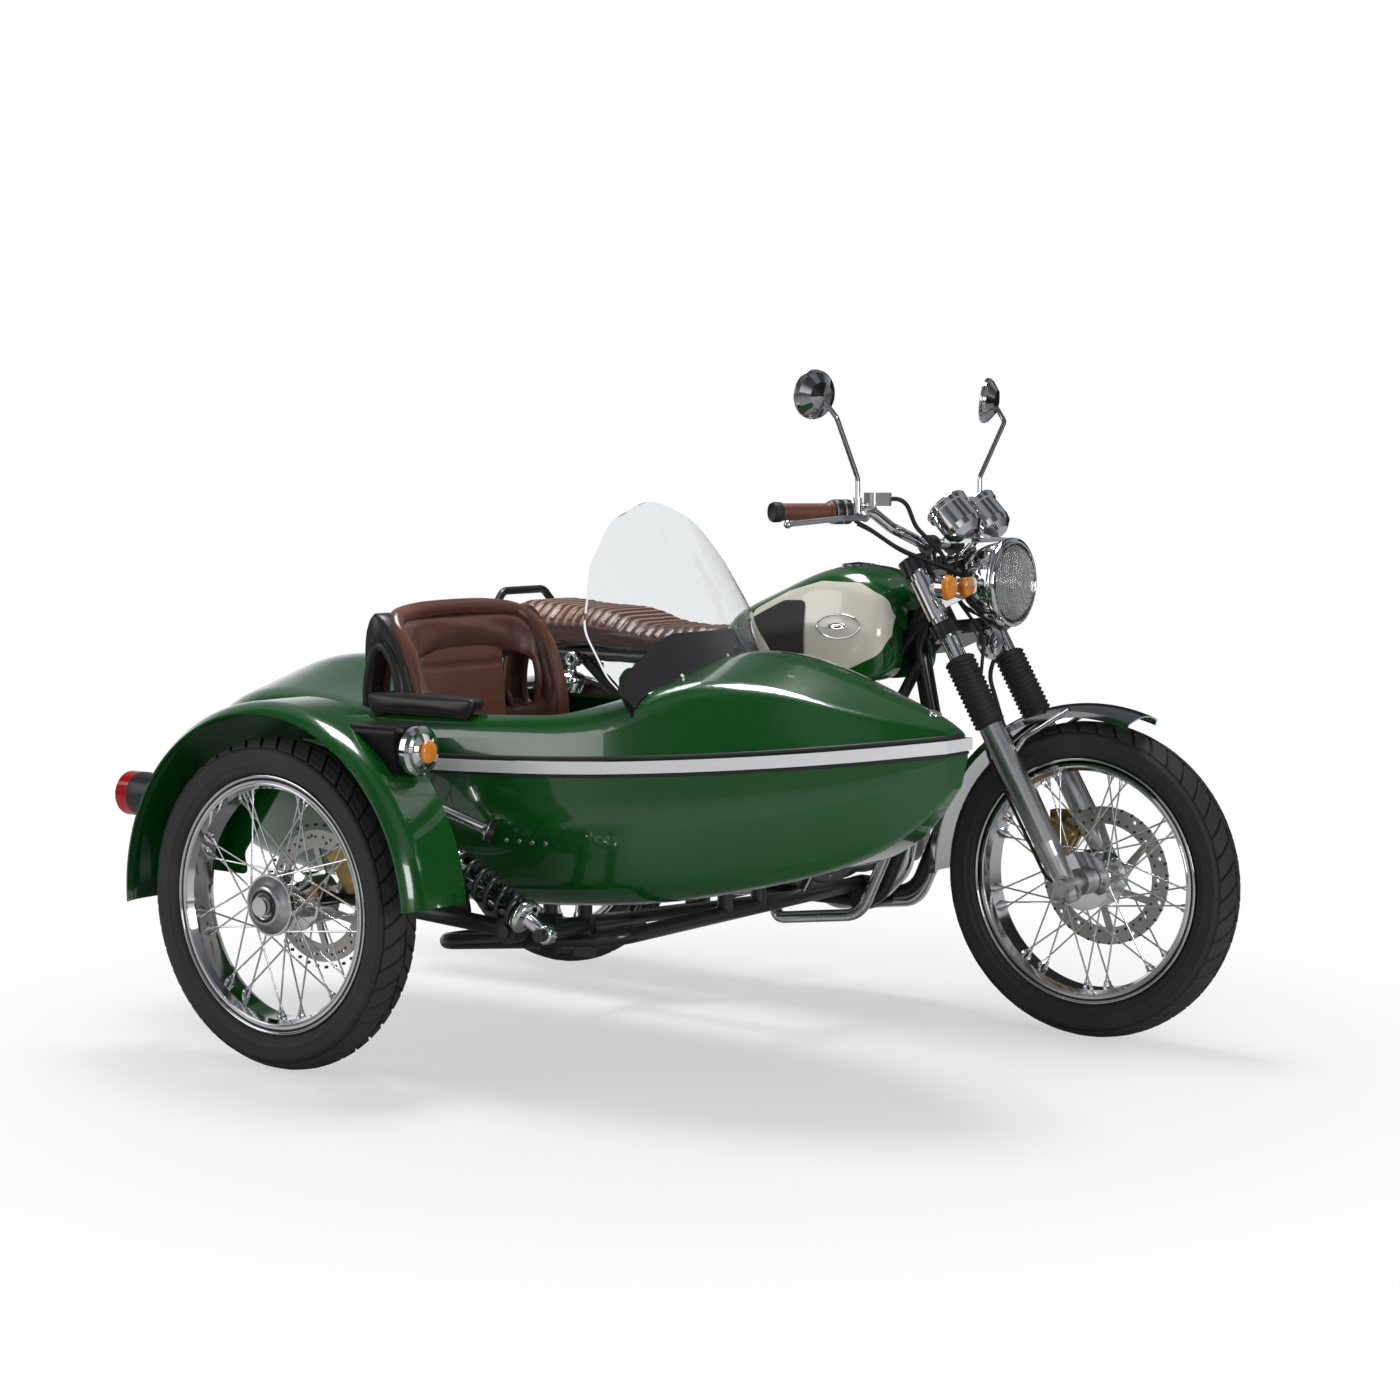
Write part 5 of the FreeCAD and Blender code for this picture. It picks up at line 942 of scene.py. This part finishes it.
def cushion(name, node, finish, voxel=0.006, rounds=14, shrink=3.0, cap=9.0, sew=None,
            shape=None):
    """A padded piece made from a CAD node.  sew(points, normals) gives each point's depth in
    millimetres, outwards, for ribs and seams."""
    made = bpy.data.objects.new(name, nodes[node].data.copy())
    bpy.context.scene.collection.objects.link(made)
    made.data.materials.clear()
    remesh = made.modifiers.new("remesh", "REMESH")
    remesh.mode, remesh.voxel_size = "VOXEL", voxel
    settle(made)
    edges = np.array([e.vertices[:] for e in made.data.edges])
    points = read(made.data)
    for _ in range(rounds):
        points = points + 0.6 * (neighbours_mean(points, edges) - points)
    write_points(made.data, points)
    points = points - read(made.data, "normal") * shrink * MM
    if shape:
        points = shape(points)
    write_points(made.data, points)
    cloth = made.modifiers.new("cloth", "CLOTH")
    cloth.settings.use_pressure = True
    cloth.settings.uniform_pressure_force = 4.0
    cloth.settings.effector_weights.gravity = 0.0
    cloth.settings.mass = 0.3
    cloth.point_cache.frame_start, cloth.point_cache.frame_end = 1, CLOTH_FRAMES
    for frame_number in range(1, CLOTH_FRAMES + 1):
        bpy.context.scene.frame_set(frame_number)
    settle(made)
    bpy.context.scene.frame_set(1)
    moved = read(made.data) - points
    far = np.linalg.norm(moved, axis=1)[:, None]
    points = points + moved * np.minimum(1, cap * MM / np.maximum(far, 1e-9))
    for _ in range(2):
        points = points + 0.4 * (neighbours_mean(points, edges) - points)
    write_points(made.data, points)
    if sew:
        write_points(made.data, points + read(made.data, "normal")
                     * sew(points, read(made.data, "normal"))[:, None] * MM)
    made.data.polygons.foreach_set("use_smooth", [True] * len(made.data.polygons))
    divide = made.modifiers.new("divide", "SUBSURF")
    divide.levels = divide.render_levels = 1
    made.data.materials.append(finish)
    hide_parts(node)
    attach(made, "outfit")
    return made


def fade(x, a, b):
    """0 below a, 1 above b, smooth between."""
    t = np.clip((x - a) / (b - a), 0, 1)
    return t * t * (3 - 2 * t)


def machine(points):
    """Metres in the CAD frame to rows of x, y and z in millimetres from the rear axle's point."""
    return ((points - AXLE) / MM).T


def lowered(points, drop):
    return points - np.stack([0 * drop, 0 * drop, drop], 1) * MM


# %% The rider's saddle
def saddle_sewing(points, normals):
    """Cross ribs |sin| on the top of the seat, and a sewn groove round its side."""
    x, _, z = machine(points)
    top = fade(normals[:, 2], 0.35, 0.75) * fade(x, -70, -50) * (1 - fade(x, 446, 462))
    seam = np.exp(-((z - 764) / 3.0) ** 2) * (1 - fade(normals[:, 2], 0.2, 0.5))
    return top * 5.6 * (np.sqrt(np.abs(np.sin(np.pi * x / RIB))) - 0.75) - 1.8 * seam


def sunk(points):
    """The foam gives a little under the cover, most in the middle of the saddle's length."""
    x, _, z = machine(points)
    return lowered(points, fade(z, 750, 790) * (5 + 7 * np.exp(-((x - 220) / 170) ** 2)))


saddle = cushion("saddle", "seat", saddle_hide, 0.0052, 10, 5.5, 5.0, saddle_sewing, sunk)
print("saddle", len(saddle.data.polygons), "faces")

# %% [markdown]
# ## The passenger's seat
# A tub with a rolled rim.  The rim and the piping round the arm openings are tubes along
# smooth lines.  The tub's outside is black, so its hide's finish turns black there.

# %% Tub, rim, piping and panel
BODY_Y = -650.0


def crowned_back(points):
    """Lowers the tub's back to its rim and rounds its two top corners."""
    x, y, z = machine(points)
    high = fade(z, 620, 800)
    corner = np.clip((np.abs(y - BODY_Y) - 130) / 90, 0, 1) ** 2
    return lowered(points, high * (14 + 16 * corner * (x < 330)))


tub = cushion("passenger_tub", "sidecar_seat", tub_hide, 0.0075, 5, 3.0, 8.0, None,
              crowned_back)


def both_wings(rows):
    """A half line on the near side, then the same points in reverse on the far side."""
    rows = np.array(rows, float)
    far = rows[::-1].copy()
    far[:, 1] = 2 * BODY_Y - far[:, 1]
    return np.vstack([rows, far])


rim = track(both_wings([(358, -857, 560), (366, -857, 620), (358, -857, 680), (338, -857, 742),
                        (308, -856, 790),
                        (282, -845, 816), (264, -815, 832), (256, -750, 840), (254, -685, 842)]), 8)
thick = np.full(len(rim), 17.0)
thick[:3], thick[-3:] = (5, 12, 16), (16, 12, 5)
made = skin("tub_rim", along(place(rim), thick * MM, 18), hide, "outfit")
for word, lip in (("rim_seam_in", 12.0), ("rim_seam_out", -12.0)):
    line = rim.copy()
    inward = np.stack([300 - line[:, 0], BODY_Y - line[:, 1], 0 * line[:, 0]], 1)
    inward /= np.linalg.norm(inward, axis=1)[:, None]
    line = line + inward * lip + np.array([0, 0, -11.0])
    skin(word, along(place(line[3:-3]), 2.6 * MM, 8), dark_hide, "outfit")

WINDOW_MIDDLE, WINDOW_POINTS = (286, 700), 64
OUTLINE = np.array([(240, 600), (237, 660), (235, 720), (235, 785), (242, 826), (262, 844), (290, 824),
                    (314, 790),
                    (338, 742), (357, 680), (362, 620), (350, 594), (300, 586), (256, 588)], float)


def around(points):
    """The same outline as distances from the middle of the window at even angles."""
    away = points - WINDOW_MIDDLE
    angle, reach = np.arctan2(away[:, 1], away[:, 0]), np.hypot(away[:, 0], away[:, 1])
    turns, order = np.linspace(-np.pi, np.pi, WINDOW_POINTS, endpoint=False), np.argsort(angle)
    far = np.interp(turns, angle[order], reach[order], period=2 * np.pi)
    return np.stack([np.cos(turns), np.sin(turns)], 1) * far[:, None]


def dense(points):
    """A closed outline with twelve points along each side."""
    share = np.linspace(0, 1, 12, endpoint=False)[None, :, None]
    return (points[:, None] * (1 - share) + np.roll(points, -1, 0)[:, None] * share).reshape(-1, 2)


WINDOW = np.array([(250, 640), (286, 628), (318, 640), (327, 690), (316, 738), (288, 776), (262, 764),
                   (244, 700)], float)
for word, y in (("near_outer", -881), ("near_inner", -833), ("far_inner", -467), ("far_outer", -419)):
    ring = np.stack([WINDOW[:, 0], np.full(len(WINDOW), float(y)), WINDOW[:, 1]], 1)
    ring = track(np.vstack([ring, ring[:3]]), 6)[6:6 + 6 * len(WINDOW)]
    near = word == "near_outer"
    skin("window_roll_" + word, along(place(ring), (12.0 if near else 9.0) * MM, 12, True),
         black_hide if near else hide,
         "outfit", joined=True)


def pad(name, corners, swell, seam, size):
    """A crowned cushion panel over four corners: it swells by sqrt((1 - u^4)(1 - v^4)) and is
    pinched along a seam, given as a share of its height."""
    a, b, c, d = place(corners)
    u, v = np.meshgrid(np.linspace(-1, 1, size[0]), np.linspace(-1, 1, size[1]), indexing="ij")
    s, t = (u[..., None] + 1) / 2, (v[..., None] + 1) / 2
    flat = (a * (1 - s) + b * s) * (1 - t) + (d * (1 - s) + c * s) * t
    out = np.cross(b - a, d - a)
    out /= np.linalg.norm(out)
    height = np.sqrt(np.clip((1 - np.abs(u) ** 4.0) * (1 - np.abs(v) ** 4.0), 0, 1)) * swell
    height -= 5.0 * np.exp(-((v - (2 * seam - 1)) / 0.035) ** 2) * (height > 0.4 * swell)
    front = flat + out * height[..., None] * MM
    back = flat - out * MM
    index = np.arange(size[0] * size[1]).reshape(size)
    edge = np.concatenate([index[0], index[1:, -1], index[-1, -2::-1], index[-2:0:-1, 0]])
    faces = np.stack([index[:-1, :-1], index[1:, :-1], index[1:, 1:], index[:-1, 1:]], -1).reshape(-1, 4)
    count = size[0] * size[1]
    sides = [[int(i), int(j), int(j) + count, int(i) + count] for i, j in zip(edge, np.roll(edge, -1))]
    made = mesh_object(name, np.vstack([front.reshape(-1, 3), back.reshape(-1, 3)]),
                       faces.tolist() + (faces[:, ::-1] + count).tolist() + sides)
    finished(made, panel_hide, "outfit")


wide, narrow = around(dense(OUTLINE)), around(dense(WINDOW))
for word, y0, y1, finish in (("near", -883, -832, black_hide), ("far", -468, -417, tub_edge)):
    rows = []
    for flat, share, y in ((wide, 1.0, y0 + 6), (wide, 0.95, y0), (narrow, 1.08, y0), (narrow, 1.0, y0 + 6),
                           (narrow, 1.0, y1 - 6), (narrow, 1.08, y1), (wide, 0.95, y1),
                           (wide, 1.0, y1 - 6)):
        at = flat * share + WINDOW_MIDDLE
        rows.append(place(np.stack([at[:, 0], np.full(len(at), float(y)), at[:, 1]], 1)))
    skin("tub_wing_" + word, rows, finish, "outfit", joined=True)


pad("tub_panel", [(300, -786, 550), (300, -534, 550), (281, -534, 800), (281, -786, 800)], 14, 0.72,
    (48, 40))
pad("tub_squab", [(318, -824, 534), (690, -824, 534), (690, -476, 534), (318, -476, 534)], 15, 0.5,
    (40, 36))
cushion("arm_pad", "armrest", black_hide, 0.005, 6, 2.0, 4.0)
print("tub", len(tub.data.polygons), "faces")

# %% [markdown]
# ## Handlebar
# Brown grips with fine rings, black switch drums, and round mirrors.  Each comes in a pair
# on the bar's own direction, and the left one is the right one mirrored.

# %% Grips, switches, mirrors and gauges
BAR_IN, BAR_OUT = np.array([953, -186, 1034.0]), np.array([856, -376, 1035.0])
BAR_WAY = (BAR_OUT - BAR_IN) / np.linalg.norm(BAR_OUT - BAR_IN)
GRIP_START = BAR_OUT - BAR_WAY * 122
DIAL_SWEEP, TICKS = 130, 27
for side, word in ((1, "right"), (-1, "left")):
    flip = np.array([1, side, 1.0])
    rows = [(11.5, 0.5), (20, 0.5), (22, 2), (22, 5), (20, 8), (17.2, 11)]
    rows += [(17.0 + 0.35 * math.sin(s * 1.3), s) for s in np.arange(13, 112, 1.6)]
    grip = spun("grip_" + word, rows + [(17.0, 113), (15, 115)], place(GRIP_START * flip), BAR_WAY * flip,
                grip_hide,
                "steering", 40)
    if side > 0:
        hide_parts("grips")
    spun("bar_end_" + word, [(16, 113.5), (19.5, 115), (20, 119), (20, 130), (18, 134)],
         place(GRIP_START * flip), BAR_WAY * flip,
         rubber, "steering", 36)
    spun("switch_drum_" + word, [(14, 2), (22, 2), (24.6, 5), (24.6, 17), (23.4, 18), (23.4, 20),
                                 (24.6, 21), (24.6, 36), (22, 39),
                                 (14, 39)], place((GRIP_START - BAR_WAY * 40.5) * flip), BAR_WAY * flip,
         plastic, "steering",
         36)
    face, look = np.array([914, -329, 1262.0]) * flip, np.array([-0.92, 0.30, 0.12]) * flip
    look /= np.linalg.norm(look)
    spun("mirror_face_" + word, [(44.6, 7.6), (44.4, 8.6), (40, 9.2), (0.5, 9.6)], place(face), look,
         mirror_glass, "steering",
         56)
    spun("mirror_ring_" + word, [(44.8, 6), (47.8, 5), (48.4, 7.5), (47, 9.8), (44.8, 9.6)], place(face),
         look, chrome,
         "steering", 56, True)
    dial_at, dial_way = np.array([1048, -56, 1040.0]) * flip, np.array([-0.70, 0, 0.714])
    spun("dial_" + word, [(39, 4.1), (38.6, 4.6), (0.5, 4.8)], place(dial_at), dial_way, dial_black,
         "steering", 48)
    spun("bezel_" + word, [(38.6, 3.6), (45.2, 3.4), (45.8, 5), (44, 8), (41, 8), (39, 6)], place(dial_at),
         dial_way, chrome,
         "steering", 48, True)
    w, u, v = frame_at(dial_way)
    ticks = []
    for k, turn in enumerate(np.radians(np.linspace(-DIAL_SWEEP, DIAL_SWEEP, TICKS))):
        stand = stood(place(dial_at) + w * 4.9 * MM + (u * math.cos(turn) + v * math.sin(turn)) * 33 * MM,
                      dial_way, 1.0, turn)
        ticks.append(stand @ np.diag([1.5 if k % 3 == 0 else 0.8, 1.0, 1.0, 1.0]))
    tick = [(x * MM, y * MM, z * MM) for z in (0, 0.3) for x,
            y in ((-2.4, -0.5), (2.4, -0.5), (2.4, 0.5), (-2.4, 0.5))]
    cube = [[3, 2, 1, 0], [4, 5, 6, 7], [0, 1, 5, 4], [1, 2, 6, 5], [2, 3, 7, 6], [3, 0, 4, 7]]
    many("dial_marks_" + word, (tick, cube), ticks, dial_white, "steering")
    needle = [(x * MM, y * MM, z * MM) for z in (0.4, 1.0) for x,
              y in ((-7, -1.1), (29, -0.3), (29, 0.3), (-7, 1.1))]
    many("needle_" + word, (needle, cube), [stood(place(dial_at) + w * 5.0 * MM, dial_way, 1.0,
                                                  math.radians(-128))], needle_red,
         "steering")
print("controls made")

# %% [markdown]
# ## Lamps
# Each lens is a thin dome over its housing.  The headlamp gets a real bowl behind clear
# glass, since a lamp with nothing inside looks like a painted disc.

# %% Lenses, bowl and glass
LENS_THICK = 2.0


def dome(name, at, radius, rise, start, body):
    """An amber lens of a radius that bulges forwards by rise, start millimetres ahead of at."""
    s = np.linspace(0, 1, 9)
    outer = [(radius * math.sin(t * math.pi / 2), start + rise * math.cos(t * math.pi / 2))
             for t in s[::-1]]
    inner = [(max(r - LENS_THICK * 0.5, 0), h - LENS_THICK) for r, h in outer[::-1]]
    rows = [(radius - LENS_THICK * 0.5, start - LENS_THICK)] + outer + inner[:-1]
    return spun(name, rows, place(at), (1, 0, 0), amber, body, 48, True)


LAMP = (1183, 0, 893)
bowl = [(77.5, -11.5), (74, -15), (64, -20.2), (48, -24.6), (30, -27.6), (13, -29), (13, -29.5),
        (30, -29.6), (77.5, -29.6)]
spun("headlamp_bowl", bowl, place(LAMP), (1, 0, 0), reflector, "steering", 72, True)
spun("headlamp_bulb", [(9, -29), (9, -20), (7.5, -15), (0.5, -13)], place(LAMP), (1, 0, 0), chrome,
     "steering", 24)
s = np.linspace(0, 1, 12)
front = [(78 * t, -11 + 11 * (1 - t * t)) for t in s]
glass_rows = front + [(78, -13.0)] + [(r - 0.2, h - 2.6) for r, h in front[::-1][1:]]
made = spun("headlamp_lens", glass_rows, place(LAMP), (1, 0, 0), lamp_glass, "steering", 72)
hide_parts("headlamp_glass")
spun("headlamp_ring", [(79, -9), (84, -9.5), (88.6, -13), (89.4, -20), (88.6, -27), (87.4, -28),
                       (87.4, -16), (79, -12)],
     place(LAMP), (1, 0, 0), chrome, "steering", 72, True)
for side, word in SIDES:
    dome("signal_lens_" + word, (1096, side * 133, 886), 22.6, 7, 8.6, "steering")
dome("marker_lens", (556, -1101, 613), 21, 8, 44, "outfit")
spun("horn_rings", [(29, 6.2), (28, 8), (25, 8.4), (22, 6.4), (19, 7.8), (16, 6), (12, 7.4), (8, 5.4),
                    (5, 9.4), (0.5, 10)],
     place((1122, 0, 772)), (1, 0, 0), chrome, "steering", 48)
HUB_FACE = SIDE + np.array([0, -35.2, 0]) * MM
spun("sidecar_hub_cap", [(21, 0), (54, 0), (54, 2), (40, 4), (38, 12), (33, 15), (24, 15), (21, 10)],
     HUB_FACE, (0, -1, 0), alloy, "sidecar_wheel_unit", 64, True)
spun("sidecar_hub_ring", [(25, 15.4), (31, 15.4), (31, 16.4), (25, 16.4)],
     HUB_FACE, (0, -1, 0), rubber, "sidecar_wheel_unit", 64, True)
print("lamps made")

# %% [markdown]
# ## Fastenings and trim
# Rivets, badges and gaskets sit on the CAD's own surfaces: a ray is sent at each spot, and the
# piece takes the point and the normal where the ray lands.  Bolts, rim beads, spoke nipples
# and the dark plugs of the brake discs are set at given places.

# %% Meeting a surface
trees = {}


def meet(node, start, way):
    """Where a ray from start, in millimetres, first meets a CAD node: point (m), normal."""
    if node not in trees:
        mesh = nodes[node].data
        trees[node] = BVHTree.FromPolygons([v.co for v in mesh.vertices],
                                           [p.vertices[:] for p in mesh.polygons])
    point, normal, *_ = trees[node].ray_cast(Vector(place(start)), Vector(way).normalized())
    return (None, None) if point is None else (np.array(point), np.array(normal))


def waist(x):
    """Height of the bright strip: z = 571 + 0.0284 (x - 500) + 4.7e-5 (x - 500)^2."""
    return 571 + 0.0284 * (x - 500) + 4.7e-5 * (x - 500) ** 2


TAIL_X = -262.0


def round_body(above, node="sidecar_deck"):
    """Points round the passenger body a height above its waist, from tail to nose to tail."""
    points = []
    for x in np.linspace(TAIL_X, 1120, 60):
        hit, _ = meet(node, (x, BODY_Y - 500, waist(x) + above), (0, 1, 0))
        if hit is not None:
            points.append(hit)
    for turn in np.radians(np.linspace(-78, 0, 26)):
        x, hit = 1300.0, None
        for _again in range(4):
            far = np.array([1100 + 600 * math.cos(turn), BODY_Y + 600 * math.sin(turn), waist(x) + above])
            hit, _ = meet(node, far, (-math.cos(turn), -math.sin(turn), 0))
            if hit is not None:
                x = (hit[0] - AXLE[0]) / MM
        if hit is not None and hit[0] > points[-1][0] + 0.002:
            points.append(hit)
    half = np.array(points)
    other = half[::-1].copy()
    other[:, 1] = 2 * place((0, BODY_Y, 0))[1] - other[:, 1]
    return np.vstack([half, other])


gasket = round_body(16.0)
print("gasket points", len(gasket), "nose at", ((gasket[:, 0].max() - AXLE[0]) / MM).round(1))
skin("waist_gasket", along(gasket, 4.4 * MM, 8), rubber, "outfit")
skin("waist_line", along(round_body(-15.0, "sidecar_hull"), 3.0 * MM, 8), rubber, "outfit")


# %% Badges, bolts and rivets
def oval(name, node, start, way, wide, high, thick, finish, body, up=(0, 0, 1)):
    """A plain domed oval badge laid on a surface."""
    at, normal = meet(node, start, way)
    along_x = np.cross(up, normal)
    along_x /= np.linalg.norm(along_x)
    along_y = np.cross(normal, along_x)
    a = np.linspace(0, 2 * np.pi, 40, endpoint=False)
    edge = np.cos(a)[:, None] * along_x * wide / 2 + np.sin(a)[:, None] * along_y * high / 2
    rows = [at + (edge * r + normal * h) * MM for r,
            h in ((1, -2.5), (1, thick * 0.5), (0.96, thick), (0.9, thick * 1.1),
                                                          (0.86, thick * 0.8), (0.5, thick),
                  (0.02, thick * 1.1))]
    return skin(name, rows, finish, body)


for side, word in SIDES:
    oval("tank_badge_" + word, "tank_panels", (840, side * 300, 800), (0, -side, 0), 46, 15, 2.6, chrome,
         "outfit")
    ring = []
    for a in np.linspace(0, 2 * np.pi, 48, endpoint=False):
        at, normal = meet("tank_panels", (840 + 50 * math.cos(a), side * 300, 800 + 24 * math.sin(a)),
                          (0, -side, 0))
        if at is not None:
            ring.append(at + normal * 0.8 * MM)
    print("badge ring", len(ring))
    skin("tank_ring_" + word, along(ring, 2.0 * MM, 8, True), chrome, "outfit", joined=True)
oval("nose_badge", "sidecar_deck", (1388, BODY_Y, 900), (0, 0, -1), 26, 20, 2.4, chrome, "outfit",
     (1, 0, 0))

skirt = []
for x, y, z in ((914, -235, 703), (932, -135, 745), (936, 0, 775), (932, 135, 745), (914, 235, 703)):
    away = np.array([0.8, 0.2 * np.sign(y), 0.56])
    at, normal = meet("screen_skirt", np.array([x, BODY_Y + y, z]) + 60 * away, -away)
    if at is not None:
        skirt.append(stood(at, normal, 4.6))
print("skirt screws", len(skirt))
many("skirt_screws", drum(10, [(1, -0.3), (1, 0.3), (0.8, 0.6), (0.3, 0.7)]), skirt, chrome, "outfit")
rivets = []
for x in (640, 670, 700, 730):
    at, normal = meet("sidecar_hull", (x, BODY_Y - 500, 438), (0, 1, 0))
    rivets.append(stood(at, normal, 5.2))
many("hull_rivets", drum(10, [(1, -0.3), (1, 0.15), (0.75, 0.45), (0.25, 0.55)]), rivets, chrome, "outfit")


def circle(x, y, z, radius, count, start=0.0):
    """Places evenly round a circle that faces sideways."""
    a = np.radians(start + 360.0 * np.arange(count) / count)
    return [(x + radius * math.cos(t), y, z + radius * math.sin(t)) for t in a]


bolts("case_bolts_right", circle(800, -128, 370, 86, 8, 12) + circle(640, -122, 362, 69, 6, 20), (0, -1, 0))
bolts("case_bolts_left", circle(815, 132, 365, 75, 7, 8) + circle(640, 118, 352, 51, 5, 20), (0, 1, 0))
spun("clutch_cap", [(50, -1), (50, 1.6), (46, 3.6), (34, 4.6), (33, 3.2), (0.5, 3.6)],
     place((800, -128, 370)), (0, -1, 0), alloy,
     "outfit", 48)
spun("points_cap", [(40, -1), (40, 1.6), (37, 3.4), (26, 4), (0.5, 4)], place((640, -122, 362)), (0, -1, 0),
     alloy, "outfit",
     48)
# The circles of HOLE_CIRCLES suit the front disc, whose radius is 138.  The sidecar's is 126
# and the rear one's 115, so on those two some plugs stand in the air past the disc's edge.
# That is a known fault; each wheel needs circles of its own.
SPOKES, DISC_HALF, HOLE_CIRCLES = 36, 2.5, (113, 136)
RIM_BEADS = ((241.0, 2.4), (226.0, 1.8))
PLUG = drum(10, [(1, -0.3), (1, 0.04), (0.85, 0.1), (0.75, 0.02), (0.2, 0.02)])
for name, middle, body, disc_y in WHEELS:
    face = 1 if disc_y > 0 else -1
    a = np.radians(60 * np.arange(6) + 15)
    spots = [middle + np.array([40 * math.cos(t), disc_y + face * DISC_HALF, 40 * math.sin(t)]) * MM
             for t in a]
    for side in (-1, 1):
        for radius, thick in RIM_BEADS:
            spun(f"{name}_rim_bead_{int(radius)}_{'left' if side > 0 else 'right'}",
                 [(radius + thick * math.cos(a), thick * math.sin(a))
                  for a in np.linspace(0, 2 * np.pi, 8, endpoint=False)],
                 middle + np.array([0, side * 34.2, 0]) * MM, (0, 1, 0), chrome, body, 96, True)
    many(name + "_disc_bolts", HEX, [stood(p, (0, face, 0), 5) for p in spots], chrome, body)
    drilled = [stood(middle + np.array([r * math.cos(t), disc_y + side * DISC_HALF, r * math.sin(t)]) * MM,
                     (0, side, 0), 3.0)
               for side in (-1, 1) for r in HOLE_CIRCLES for t in np.radians(5 + 10 * np.arange(36))]
    many(name + "_disc_holes", PLUG, drilled, black, body)
    nipples = []
    for i in range(SPOKES):
        side, lean = (1 if i % 2 else -1), (52 if (i // 2) % 2 else -52)
        a0, a1 = math.radians(10 * i), math.radians(10 * i + lean)
        hub_end = np.array([54 * math.cos(a0), side * 32, 54 * math.sin(a0)])
        rim_end = np.array([219 * math.cos(a1), side * 6, 219 * math.sin(a1)])
        way = rim_end - hub_end
        at = rim_end - way / np.linalg.norm(way) * 17
        nipples.append(stood(middle + at * MM, way, 1.0))
    many(name + "_nipples", drum(6, [(2.2, 0), (3.3, 2), (3.3, 9), (4.6, 12), (4.6, 16)]), nipples, chrome,
         body)
print("fastenings made")

# %% [markdown]
# ## Lines that are held along their length
# Wires from the switches go behind the bar into the headlamp shell.  The mudguard stay has a
# polished sleeve over its strut.

# %% Wires and stay
for side, word in SIDES:
    flip = np.array([1, -side, 1.0])
    for k, (dy, dz) in enumerate(((0, 0), (9, -7))):
        wire = track(np.array([(940, -228 + dy, 1016 + dz), (955, -196 + dy, 1000 + dz),
                               (985, -150 + dy, 966 + dz),
                               (1016, -112 + dy, 944 + dz), (1052, -72 + dy, 924 + dz),
                               (1086, -46 + dy, 904 + dz)]) * flip, 8)
        skin("wire_%s_%d" % (word, k), along(place(wire), (3.6 - k) * MM, 8), rubber, "steering")
foot, tip = np.array([624, -951, 452.0]), np.array([462, -1062, 540.0])
run = (tip - foot) / np.linalg.norm(tip - foot)
length = np.linalg.norm(tip - foot)
spun("stay_sleeve", [(8, 12), (20.6, 12), (20.6, 14), (14, 15), (10.4, 20), (9.8, 26), (9.8, length - 16),
                     (14, length - 14),
                     (14, length - 8), (9, length - 6)], place(foot), run, chrome, "outfit", 32)
print("trim made")

# %% Sizes, and the frame's last word
low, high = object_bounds()
print("visual box", [round(v, 3) for v in (high - low)])
